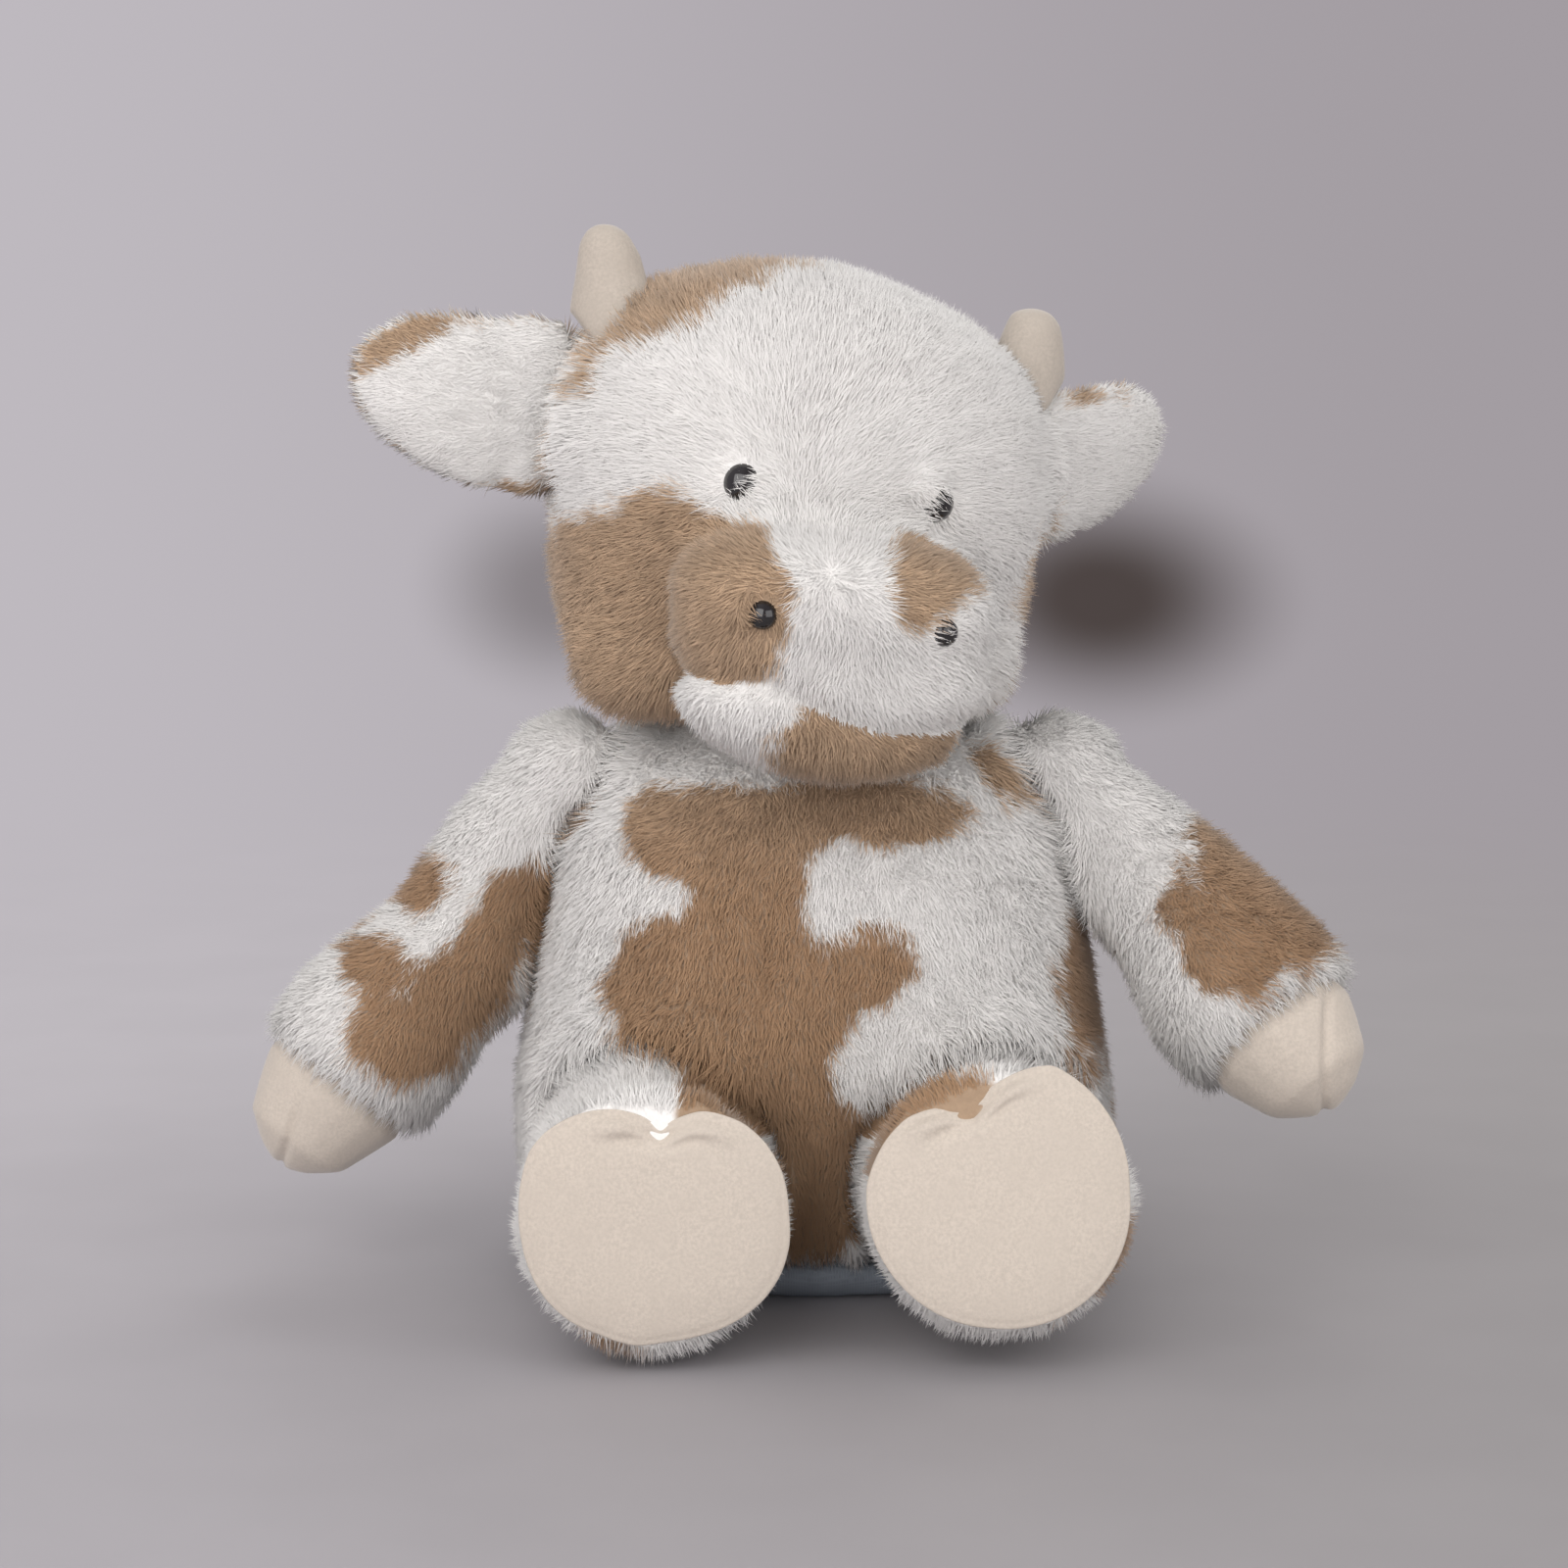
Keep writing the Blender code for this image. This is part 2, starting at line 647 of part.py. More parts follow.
def make_head(head):
    """The head with its muzzle, chin, eyes, nostrils and horns."""
    outer = head_rings(0, BODY_SIDES, HEAD_ROWS, NECK_HOLE_STEPS)
    inner = head_rings(FUR_WALL, BODY_SIDES, HEAD_ROWS, NECK_HOLE_STEPS)
    skin = add_piece("head_skin", loft(reversed_rings(outer) + inner), FUR_WHITE, head)
    stuffing_rings = head_rings(FUR_WALL + FILL_GAP, BODY_SIDES, HEAD_ROWS)
    stuffing = add_piece("head_stuffing", loft(stuffing_rings), STUFFING_WHITE, head)
    clear = add_cutter("head_clearance", loft(head_rings(-SEAM_GAP, BODY_SIDES, HEAD_ROWS)), head)

    muzzle = (MUZZLE_FORM_SHARES, MUZZLE_FRONT, MUZZLE_HALF_WIDTH, MUZZLE_HALF_HEIGHT, MUZZLE_DROP)
    chin = (CHIN_FORM_SHARES, CHIN_FRONT, CHIN_HALF_WIDTH, CHIN_HALF_HEIGHT, CHIN_DROP)
    filled = POUCH_WALL + FILL_GAP
    muzzle_clear = add_cutter("muzzle_clearance", loft(pouch_rings(*muzzle, -SEAM_GAP)), head)
    pouches = {}
    for name, sizes in (("muzzle", muzzle), ("chin", chin)):
        outside = pouch_rings(*sizes, 0)
        inside = pouch_rings(*sizes, POUCH_WALL)
        pouch = add_piece(name + "_skin", loft(reversed_rings(outside) + inside), FUR_WHITE, head)
        fill = pouch_rings(*sizes, filled)
        fill_piece = add_piece(name + "_stuffing", loft(fill), STUFFING_WHITE, head)
        pouches[name] = (pouch, fill_piece)
        for piece in (pouch, fill_piece):
            cut(piece, clear)
            if name == "chin":
                cut(piece, muzzle_clear)

    for side, sign in SIDES.items():
        flat = EYE_SIDE / HEAD_HALF_WIDTH
        forward = HEAD_HALF_DEPTH * (1 - flat ** SUPER_SHARE) ** (1 / SUPER_SHARE)
        place = (sign * EYE_SIDE, -forward - HEAD_HALF_DEPTH * EYE_FORWARD_SHARE, EYE_HEIGHT)
        outward = (sign * flat / HEAD_HALF_WIDTH, -forward / HEAD_HALF_DEPTH ** 2, 0)
        make_button(f"eye_{side}", head, place, outward, EYE_RADIUS, FUR_WALL, skin, stuffing)
        flat = NOSTRIL_SIDE / MUZZLE_HALF_WIDTH
        place = (sign * NOSTRIL_SIDE, -MUZZLE_FRONT * NOSTRIL_REACH_SHARE, NOSTRIL_RISE - MUZZLE_DROP)
        outward = (sign * flat * NOSTRIL_TURN_SHARE, -1, NOSTRIL_TILT_SHARE)
        make_button(f"nostril_{side}", head, place, outward, NOSTRIL_RADIUS, POUCH_WALL, *pouches["muzzle"])

        upward = Euler((0, HORN_LEANS[side], 0)).to_matrix() @ Vector((0, 0, 1))
        tip = Vector((sign * HORN_SIDES[side], HORN_BACKS[side], HORN_TIP_HEIGHTS[side]))
        rings = []
        for along, width in HORN_FORM_SHARES:
            centre = tip - upward * (HORN_LENGTHS[side] * (1 - along))
            radius = HORN_RADIUS * width
            rings.append(ring(centre, (1, 0, 0), (0, 1, 0), radius, radius, STUFFING_SIDES))
        horn = add_piece(f"horn_{side}", loft(rings), SUEDE_CREAM, head)
        cut(horn, clear)
    return skin, stuffing


def make_ear(side, sign, head, skin, stuffing):
    """One ear's front and back panels, on the seam that they fold about."""
    pivot = add_empty(
        f"ear_{side}_axis",
        (sign * EAR_SIDE, 0, EAR_HEIGHTS[side]),
        (0, -sign * EAR_RAISE[side], sign * EAR_BACK[side]),
        head,
    )
    for panel, facing, finish in (("front", -1, FUR_WHITE), ("back", 1, FUR_TAN)):
        rings = []
        for along, width, thick in EAR_FORM_SHARES:
            reach = sign * (EAR_LENGTH * along - EAR_HALF_THICKNESS * EAR_ROOT_SHARE)
            half_up = max(EAR_HALF_WIDTHS[side] * width, 0)
            half_thick = max(EAR_HALF_THICKNESS * thick, 0)
            points = ring((reach, 0, 0), (0, facing, 0), (0, 0, 1), half_thick, half_up, STUFFING_SIDES)
            if len(points) == 1:
                points[0].y = facing * SEAM_GAP / 2
            for point in points:
                if point.y * facing < SEAM_GAP / 2:
                    point.y = facing * SEAM_GAP / 2
            rings.append(points)
        add_piece(f"ear_{side}_{panel}", loft(rings), finish, pivot)

    half = EAR_HALF_WIDTHS[side] * EAR_GROOVE_SHARE
    radius = EAR_HALF_THICKNESS * math.hypot(EAR_ROOT_SHARE, EAR_ROOT_EDGE_SHARE) + SWING_GAP
    low = [(radius * width, -half * height) for width, height in EAR_GROOVE_FORM_SHARES]
    high = [(width, -height) for width, height in reversed(low)]
    cutter = add_cutter(f"ear_{side}_groove", turned(low + high, STUFFING_SIDES), pivot)
    cut(skin, cutter)
    cut(stuffing, cutter)


def make_arm(side, sign, clear):
    """One arm: fur skin, stuffing and suede hoof."""
    shoulder = (sign * SHOULDER_SIDE, 0, SHOULDER_HEIGHT)
    pivot = add_empty(f"arm_{side}_axis", shoulder)
    route = [(sign * out, -ahead, up) for out, ahead, up in ARM_ROUTES[side]]
    path = limb_path(route, 4 * LIMB_ROWS)
    stations = smooth_rows(ARM_RADIUS_SHARES, 2 * SMALL_ROWS)
    upper = [row for row in stations if row[0] < ARM_WRIST_SHARE]
    wrist = (ARM_WRIST_SHARE, ARM_CUFF_SHARE)
    outer = ball_piece_rings(path, SHOULDER_RADIUS, ARM_HALF_WIDTH, 0, LIMB_HOLE, upper + [wrist], LIMB_SIDES)
    inner = ball_piece_rings(path, SHOULDER_RADIUS, ARM_HALF_WIDTH, FUR_WALL, LIMB_HOLE, upper + [wrist], LIMB_SIDES)
    skin = add_piece(f"arm_{side}_skin", loft(outer + reversed_rings(inner), True), FUR_WHITE, pivot)

    seam = ARM_WRIST_SHARE + SEAM_GAP / path_length(route)
    lower = [(seam, HOOF_ROOT_SHARE)] + [row for row in stations if row[0] > HOOF_EDGE_SHARE]
    cleft = (math.pi, CLEFT_DEPTH_SHARE, CLEFT_WIDTH)
    trim = FUR_WALL - SUEDE_WALL
    outside = tube_rings(path, lower, ARM_HALF_WIDTH, trim / 2, LIMB_SIDES, cleft, CLEFT_START_SHARE)
    inside = tube_rings(path, lower[:-1], ARM_HALF_WIDTH, FUR_WALL, LIMB_SIDES, cleft, CLEFT_START_SHARE)
    add_piece(f"arm_{side}_hoof", loft(reversed_rings(outside) + inside), SUEDE_CREAM, pivot)

    inset = FUR_WALL + FILL_GAP
    core = ball_piece_rings(path, SHOULDER_RADIUS, ARM_HALF_WIDTH, inset, 0, upper + [wrist], LIMB_SIDES)
    low = [row for row in lower if row[0] < ARM_FILL_SHARE]
    end = tube_rings(path, low, ARM_HALF_WIDTH, 2 * inset, LIMB_SIDES)
    fill = add_piece(f"arm_{side}_stuffing", loft(core + end), STUFFING_WHITE, pivot)
    cut(skin, clear)
    cut(fill, clear)
    return add_cutter(f"arm_{side}_socket", ball(SHOULDER_RADIUS + SWING_GAP, STUFFING_SIDES), location=shoulder)


def path_length(route):
    """The length of a route's straight steps."""
    places = [Vector((0, 0, 0))] + [Vector(row) for row in route]
    return sum((after - before).length for before, after in zip(places, places[1:]))


def make_leg(side, sign, floor):
    """One leg: fur skin, stuffing and suede sole."""
    hip = (sign * HIP_SIDE, -HIP_FORWARD, HIP_HEIGHT)
    pivot = add_empty(f"leg_{side}_axis", hip)
    aside = LEG_LENGTH * math.sin(LEG_TURN)
    route = [(aside * ahead, -LEG_LENGTH * ahead, FOOT_LIFT[side] * rise) for ahead, rise in LEG_ROUTE_SHARES]
    path = limb_path(route, 2 * LIMB_ROWS)
    stations = smooth_rows(LEG_RADIUS_SHARES, SMALL_ROWS)
    notch = (NOTCH_TURN[side], NOTCH_DEPTH_SHARE, NOTCH_WIDTH)
    outer = ball_piece_rings(path, HIP_RADIUS, FOOT_RADIUS, 0, LIMB_HOLE, stations, LIMB_SIDES)
    inner = ball_piece_rings(path, HIP_RADIUS, FOOT_RADIUS, FUR_WALL, LIMB_HOLE, stations[:-1], LIMB_SIDES)
    rim = LEG_RADIUS_SHARES[-1][0]
    opening = FOOT_RADIUS * SOLE_SHARE
    mouth = tube_rings(path, ((rim, 1.0),), opening, 0, LIMB_SIDES, notch, 0)
    skin = add_piece(f"leg_{side}_skin", loft(outer + mouth + reversed_rings(inner), True), FUR_WHITE, pivot)

    back = rim - SOLE_THICKNESS / LEG_LENGTH
    bulge = SOLE_BULGE / LEG_LENGTH
    plate = [(back, SOLE_BACK_SHARE)] + [(rim + bulge * ahead, width) for ahead, width in SOLE_FORM_SHARES]
    rings = tube_rings(path, plate, opening - SEAM_GAP, SEAM_GAP, LIMB_SIDES, notch, 0)
    add_piece(f"leg_{side}_sole", loft(rings), SUEDE_CREAM, pivot)

    inset = FUR_WALL + FILL_GAP
    core = ball_piece_rings(path, HIP_RADIUS, FOOT_RADIUS, inset, 0, stations[:-2], LIMB_SIDES)
    end = tube_rings(path, ((back - SEAM_GAP / LEG_LENGTH, LEG_FILL_SHARE),), opening, 0, LIMB_SIDES)
    add_piece(f"leg_{side}_stuffing", loft(core + end), STUFFING_WHITE, pivot)
    cut(skin, floor)
    return add_cutter(f"leg_{side}_socket", ball(HIP_RADIUS + SWING_GAP, LIMB_SIDES), location=hip)


def make_tail(floor):
    """The tail and its tuft, lying on the floor behind the seat."""
    root = (0, TAIL_ROOT_BACK, TAIL_ROOT_HEIGHT)
    pivot = add_empty("tail_axis", root)
    path = limb_path(TAIL_ROUTE, 2 * LIMB_ROWS)
    stations = [(share, TAIL_RADIUS / TAIL_BALL_RADIUS) for share in TAIL_STATION_SHARES]
    rings = ball_piece_rings(path, TAIL_BALL_RADIUS, TAIL_BALL_RADIUS, 0, 0, stations, SMALL_SIDES)
    add_piece("tail_skin", loft(rings), FUR_WHITE, pivot)

    end = path[-1][1]
    near = path[-2][2]
    flat = Vector((near.x, near.y, 0)).normalized()
    side, up = frame_across(flat)
    rings = []
    height = TUFT_RADIUS - FLOOR_PRESS - root[2]
    for along, width in smooth_rows(TUFT_FORM_SHARES, SMALL_ROWS):
        centre = end + flat * (2 * SEAM_GAP + TUFT_LENGTH * along)
        centre.z = end.z + (height - end.z) * min(along * 2, 1)
        radius = max(TUFT_RADIUS * width, 0)
        rings.append(ring(centre, side, up, radius, radius, SMALL_SIDES))
    tuft = add_piece("tail_tuft", loft(rings), FUR_TAN, pivot)
    cut(tuft, floor)
    return add_cutter("tail_socket", ball(TAIL_BALL_RADIUS + SWING_GAP, SMALL_SIDES), location=root)


def main():
    clear_scene()
    floor_bm = bmesh.new()
    bmesh.ops.create_cube(floor_bm, size=1.0)
    bmesh.ops.scale(floor_bm, vec=(FLOOR_SPAN, FLOOR_SPAN, OVERRUN), verts=floor_bm.verts)
    floor = add_cutter("floor", floor_bm, location=(0, 0, -OVERRUN / 2))
    clear = add_cutter("body_clearance", loft(body_rings(-SEAM_GAP, BODY_SIDES, BODY_ROWS)))

    neck = add_empty("neck_axis", (NECK_PIVOT_SIDE, NECK_PIVOT_BACK, NECK_PIVOT_HEIGHT))
    turn = Euler((0, 0, HEAD_YAW)).to_matrix()
    roll = Euler((0, HEAD_ROLL, 0)).to_matrix()
    nod = Euler((HEAD_NOD, 0, 0)).to_matrix()
    head = add_empty("head_axis", (0, 0, 0), (turn @ roll @ nod).to_euler(), neck)

    seats = list(make_neck(neck))
    hips = []
    skin, stuffing = make_head(head)
    for side, sign in SIDES.items():
        make_ear(side, sign, head, skin, stuffing)
        seats.append(make_arm(side, sign, clear))
        hips.append(make_leg(side, sign, floor))
    seats.append(make_tail(floor))
    make_body(seats, hips)


main()
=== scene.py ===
"""Dresses the seated plush cow in cloth, pile, suede and glossy eyes, on a pale floor under soft lamps.

Lengths are in metres and the frame is the cow's own: it faces -Y, its right side is -X, and Z is up.
"""

import json
import math

import bmesh
import bpy
import numpy as np
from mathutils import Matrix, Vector
from mathutils.bvhtree import BVHTree


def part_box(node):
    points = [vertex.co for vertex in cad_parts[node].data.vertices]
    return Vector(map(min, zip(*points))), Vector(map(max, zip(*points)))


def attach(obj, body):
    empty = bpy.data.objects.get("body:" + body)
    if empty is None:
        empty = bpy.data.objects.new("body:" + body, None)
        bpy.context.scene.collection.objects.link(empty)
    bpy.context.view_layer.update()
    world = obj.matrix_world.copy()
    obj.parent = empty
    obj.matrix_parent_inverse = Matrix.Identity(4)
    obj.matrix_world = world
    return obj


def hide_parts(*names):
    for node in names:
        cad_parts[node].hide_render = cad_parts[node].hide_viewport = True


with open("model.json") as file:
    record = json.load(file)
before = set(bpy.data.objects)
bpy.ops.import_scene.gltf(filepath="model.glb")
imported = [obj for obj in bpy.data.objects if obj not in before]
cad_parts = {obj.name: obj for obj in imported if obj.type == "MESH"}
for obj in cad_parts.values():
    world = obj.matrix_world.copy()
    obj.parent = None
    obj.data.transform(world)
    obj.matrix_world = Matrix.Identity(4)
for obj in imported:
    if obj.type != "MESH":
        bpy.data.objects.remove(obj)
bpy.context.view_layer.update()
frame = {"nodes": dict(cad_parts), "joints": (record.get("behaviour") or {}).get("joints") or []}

MM = 0.001
SIDES = {"right": -1, "left": 1}

# Camera, in the front view
AIM = Vector((-8.8 * MM, 0, 139.5 * MM))
CAMERA_DISTANCE = 1150 * MM
CAMERA_RISE = math.radians(8)
LENS = 90.8
SENSOR = 36.0
PICTURE = 1600

# Cloth
CLOTH_VOXEL = 4.2 * MM
HEAD_VOXEL = 3.0 * MM
LIMB_VOXEL = 3.0 * MM
PILE_HEIGHT = 3.2 * MM
BODY_PILE_HEIGHT = 2.6 * MM
ARM_PILE_HEIGHT = 0.6 * MM
LEG_PILE_HEIGHT = 2.4 * MM
PUFF_CAP = 3.0 * MM
PUFF_FRAMES = 20
PUFF_PRESSURE = 4.0

# Pile
PILE_LENGTH = 5.2 * MM
PILE_WIDTH = 0.48 * MM
PILE_DENSITY = 1.62e6
PILE_ROUNDNESS = 0.2
PILE_LOOKS = {"Lift": 0.75, "Whorl": 0.75, "Tuft": 0.85, "Stray": 0.38}
FLOOR_CLEAR = 0.5 * MM

# Colours, linear
WHITE_PILE = (0.960, 0.935, 0.915)
TAN_PILE = (0.560, 0.390, 0.260)
# The darker, redder tan that the pile shifts to towards the bottom
LOW_TAN = (0.400, 0.235, 0.130)
CREAM_SUEDE = (0.625, 0.550, 0.480)
BASE_GREY = (0.330, 0.370, 0.430)
# The floor's tone, lighter towards -X and darker towards +X: painted light and shade
FLOOR_LEFT = (0.445, 0.425, 0.455)
FLOOR_RIGHT = (0.300, 0.285, 0.290)
# The backdrop's tone, lighter towards -X and darker towards +X: painted light and shade
BACK_LEFT = (0.521, 0.491, 0.527)
BACK_RIGHT = (0.365, 0.335, 0.360)
# Painted shadows of the toy on the backdrop: their colour, and each spot's direction, reach and how much
SHADE_BROWN = (0.040, 0.026, 0.020)
BACK_SHADE = (
    ((0.077, 0.99, -0.092), (0.056, 0.5, 0.036), 0.90),
    ((-0.058, 0.99, -0.090), (0.042, 0.5, 0.032), 0.50),
)


def points_of(mesh):
    """A mesh's points as rows of numbers."""
    found = np.empty(len(mesh.vertices) * 3)
    mesh.vertices.foreach_get("co", found)
    return found.reshape(-1, 3)


def normals_of(mesh):
    """A mesh's normals at its points."""
    found = np.empty(len(mesh.vertices) * 3)
    mesh.vertex_normals.foreach_get("vector", found)
    return found.reshape(-1, 3)


def put_points(mesh, points):
    """Move a mesh's points."""
    mesh.vertices.foreach_set("co", np.asarray(points, np.float32).ravel())
    mesh.update()


def surface(piece):
    """A piece's points and the normals at them."""
    return points_of(piece.data), normals_of(piece.data)


def cad_points(node):
    """The points of a CAD node."""
    return points_of(frame["nodes"][node].data)


def unit(rows):
    """Rows brought to a length of one."""
    return rows / np.maximum(np.linalg.norm(rows, axis=1, keepdims=True), 1e-9)


def add_object(name, mesh):
    """An object at the origin that shows a mesh."""
    made = bpy.data.objects.new(name, mesh)
    bpy.context.scene.collection.objects.link(made)
    return made


def add_mesh(name, bm):
    """An object at the origin made of a bmesh."""
    mesh = bpy.data.meshes.new(name)
    bm.to_mesh(mesh)
    bm.free()
    mesh.shade_smooth()
    return add_object(name, mesh)


def settle(piece):
    """Make a piece's modifiers part of its mesh."""
    depsgraph = bpy.context.evaluated_depsgraph_get()
    mesh = bpy.data.meshes.new_from_object(piece.evaluated_get(depsgraph))
    piece.modifiers.clear()
    old = piece.data
    piece.data = mesh
    bpy.data.meshes.remove(old)


def gathered(name, nodes):
    """One object of copies of CAD nodes, their loose triangles merged."""
    bm = bmesh.new()
    for node in nodes:
        bm.from_mesh(frame["nodes"][node].data)
    bmesh.ops.remove_doubles(bm, verts=bm.verts, dist=0.01 * MM)
    return add_mesh(name, bm)


def softened(piece, voxel, rounds):
    """Give a piece an even mesh and round off its facets."""
    remesh = piece.modifiers.new("even mesh", "REMESH")
    remesh.mode = "VOXEL"
    remesh.voxel_size = voxel
    remesh.use_smooth_shade = True
    smooth = piece.modifiers.new("soft edges", "SMOOTH")
    smooth.factor = 0.5
    smooth.iterations = rounds
    settle(piece)


def largest_part(piece):
    """Keep only the outer closed surface of a piece, and drop what lies loose inside it."""
    bm = bmesh.new()
    bm.from_mesh(piece.data)
    left = set(bm.verts)
    parts = []
    while left:
        first = left.pop()
        part = {first}
        edge = [first]
        while edge:
            vert = edge.pop()
            for link in vert.link_edges:
                other = link.other_vert(vert)
                if other in left:
                    left.discard(other)
                    part.add(other)
                    edge.append(other)
        parts.append(part)
    parts.sort(key=len)
    loose = [vert for part in parts[:-1] for vert in part]
    bmesh.ops.delete(bm, geom=loose, context="VERTS")
    bm.to_mesh(piece.data)
    bm.free()


def drawn_in(piece, depth):
    """Move a piece's surface inwards, so that the pile on it ends at the CAD surface."""
    mesh = piece.data
    put_points(mesh, points_of(mesh) - normals_of(mesh) * np.reshape(depth, (-1, 1)))


def hull_of(*nodes):
    """The planes of the tight convex skin round CAD nodes."""
    bm = bmesh.new()
    places = {tuple(np.round(place, 6)) for node in nodes for place in cad_points(node)}
    for place in sorted(places):
        bm.verts.new(place)
    bmesh.ops.convex_hull(bm, input=bm.verts)
    bm.normal_update()
    planes = [(*face.normal, face.normal.dot(face.verts[0].co)) for face in bm.faces]
    bm.free()
    return np.array(planes, np.float32)


def outside(planes, points):
    """How far points lie outside a convex skin, negative inside it."""
    parts = []
    for part in np.array_split(np.asarray(points, np.float32), max(len(points) // 8000, 1)):
        parts.append((part @ planes[:, :3].T - planes[:, 3]).max(1))
    return np.concatenate(parts)


def ramp(values, low, high):
    """Values brought to 0 at low and 1 at high, and smooth between."""
    share = np.clip((values - low) / (high - low), 0, 1)
    return share * share * (3 - 2 * share)


def bell(off, reach):
    """One in the middle, fading out round it over a reach."""
    return np.exp(-(off / reach) ** 2)


def search_tree(piece):
    """A piece's faces, ready to be searched."""
    mesh = piece.data
    return BVHTree.FromPolygons([vert.co[:] for vert in mesh.vertices], [face.vertices[:] for face in mesh.polygons])


def room_ahead(points, ways, other, reach=10 * MM):
    """How far each point can look out before it meets another piece, up to a reach."""
    tree = search_tree(other)
    found = np.full(len(points), reach)
    for index, (place, way) in enumerate(zip(points, ways)):
        hit = tree.ray_cast(Vector(place), Vector(way), reach)
        if hit[3] is not None:
            found[index] = hit[3]
    return found


def away_from_piece(points, other):
    """How far points lie from the surface of another piece."""
    tree = search_tree(other)
    return np.array([tree.find_nearest(Vector(place))[3] for place in points])


def away_from(points, place):
    """How far points are from a place."""
    return np.linalg.norm(points - np.asarray(place), axis=1)


def puffed(piece, cap, free=1.0, pressure=PUFF_PRESSURE):
    """Blow a cloth form up a little as stuffing does, each point moving no further than the cap."""
    rest = points_of(piece.data)
    cloth = piece.modifiers.new("stuffing", "CLOTH")
    cloth.settings.quality = 4
    cloth.settings.use_pressure = True
    cloth.settings.uniform_pressure_force = pressure
    cloth.settings.effector_weights.gravity = 0
    cloth.point_cache.frame_start = 1
    cloth.point_cache.frame_end = PUFF_FRAMES
    for step in range(1, PUFF_FRAMES + 1):
        bpy.context.scene.frame_set(step)
    depsgraph = bpy.context.evaluated_depsgraph_get()
    blown = points_of(piece.evaluated_get(depsgraph).data)
    piece.modifiers.clear()
    bpy.context.scene.frame_set(1)
    move = blown - rest
    far = np.linalg.norm(move, axis=1, keepdims=True)
    put_points(piece.data, rest + move * np.minimum(1, cap / np.maximum(far, 1e-9)) * np.reshape(free, (-1, 1)))


def finer(piece, rounds=0):
    """Subdivide a piece once."""
    finer_mesh = piece.modifiers.new("finer", "SUBSURF")
    finer_mesh.levels = 1
    finer_mesh.render_levels = 1
    if rounds:
        smooth = piece.modifiers.new("soft edges", "SMOOTH")
        smooth.iterations = rounds
    settle(piece)


def cloth_form(name, nodes, voxel, depth, rounds=6, cap=PUFF_CAP, freedom=None, crease=None):
    """The stuffed cloth under the pile, made from CAD nodes.

    Freedom is 0 where the cloth is held, as in a seam with another part, and 1 where it is free.
    A crease is how much deeper the cloth is drawn in along a seam.
    """
    piece = gathered(name, nodes)
    softened(piece, voxel, rounds)
    largest_part(piece)
    points = points_of(piece.data)
    free = freedom(points) if freedom else np.ones(len(points))
    deeper = crease(points) if crease else 0.0
    drawn_in(piece, (depth + cap / 2) * free + deeper)
    puffed(piece, cap, free)
    finer(piece, 2)
    piece.data.shade_smooth()
    return piece


def store(mesh, name, values):
    """Keep a number or a direction for each of a mesh's points."""
    values = np.asarray(values, np.float32)
    if values.ndim == 2:
        mesh.attributes.new(name, "FLOAT_VECTOR", "POINT").data.foreach_set("vector", values.ravel())
    else:
        mesh.attributes.new(name, "FLOAT", "POINT").data.foreach_set("value", values)


def seen_in_front(points):
    """Where points lie in the front view, in points of a square picture, measured from its top left."""
    up = np.array((0, math.sin(CAMERA_RISE), math.cos(CAMERA_RISE)))
    ahead = np.array((0, math.cos(CAMERA_RISE), -math.sin(CAMERA_RISE)))
    off = points - np.array(AIM)
    depth = CAMERA_DISTANCE + off @ ahead
    scale = LENS / SENSOR * PICTURE / depth
    return np.stack([PICTURE / 2 + off[:, 0] * scale, PICTURE / 2 - (off @ up) * scale], 1)


def blot(places, blobs, blend):
    """How far each flat place lies inside a patch made of merged ovals: (x, y, half x, half y, turn in degrees)."""
    total = np.full(len(places), 1e-30)
    for x, y, half_x, half_y, turn in blobs:
        c, s = math.cos(math.radians(turn)), math.sin(math.radians(turn))
        across = ((places[:, 0] - x) * c + (places[:, 1] - y) * s) / half_x
        along = ((places[:, 1] - y) * c - (places[:, 0] - x) * s) / half_y
        inside = (1 - np.hypot(across, along)) * min(half_x, half_y)
        total += np.exp(np.clip(inside / blend, -60, 60))
    return blend * np.log(total)


# Patches in the front view, in picture points
BODY_FRONT_PATCHES = (
    (684, 850, 44, 46, 0), (760, 842, 78, 42, 0), (885, 822, 106, 36, 2), (762, 915, 58, 56, 0),
    (716, 1012, 96, 84, 20), (790, 1030, 66, 110, 0), (880, 986, 62, 44, -14), (768, 1130, 76, 92, -20),
    (820, 1210, 62, 76, -10), (870, 1190, 44, 56, 0), (945, 1137, 70, 32, -16), (1018, 788, 30, 12, 48),
    (1100, 1010, 26, 78, -6),
)
BODY_BACK_PATCHES = (
    (-38, 128, 34, 26, 20), (-58, 92, 26, 34, 0), (30, 66, 40, 30, -15), (62, 96, 24, 22, 0),
    (-20, 30, 30, 18, 0), (78, 30, 20, 22, 0),
)
ARM_FRONT_PATCHES = {
    "right": (
        (434, 896, 29, 31, 0), (520, 930, 34, 70, 38), (470, 1005, 44, 66, 40), (415, 1062, 54, 40, 0),
        (386, 992, 28, 46, -12),
    ),
    "left": (
        (1292, 905, 52, 78, -38), (1250, 872, 34, 52, -30), (1262, 965, 52, 56, 0), (1212, 922, 32, 26, 20),
        (1325, 950, 30, 26, 0),
    ),
}
HEAD_FRONT_PATCHES = (
    (618, 640, 92, 122, 0), (690, 560, 62, 58, 0), (690, 730, 84, 80, 0), (1052, 612, 20, 34, 0),
)
HEAD_TOP_PATCHES = (
    (690, 300, 80, 36, -30), (770, 268, 80, 22, -12), (604, 386, 13, 24, 15),
)
HEAD_BACK_PATCHES = (
    (-28, 262, 46, 34, -10), (-58, 220, 26, 30, 0), (40, 206, 32, 26, 20), (56, 180, 22, 24, 0),
)
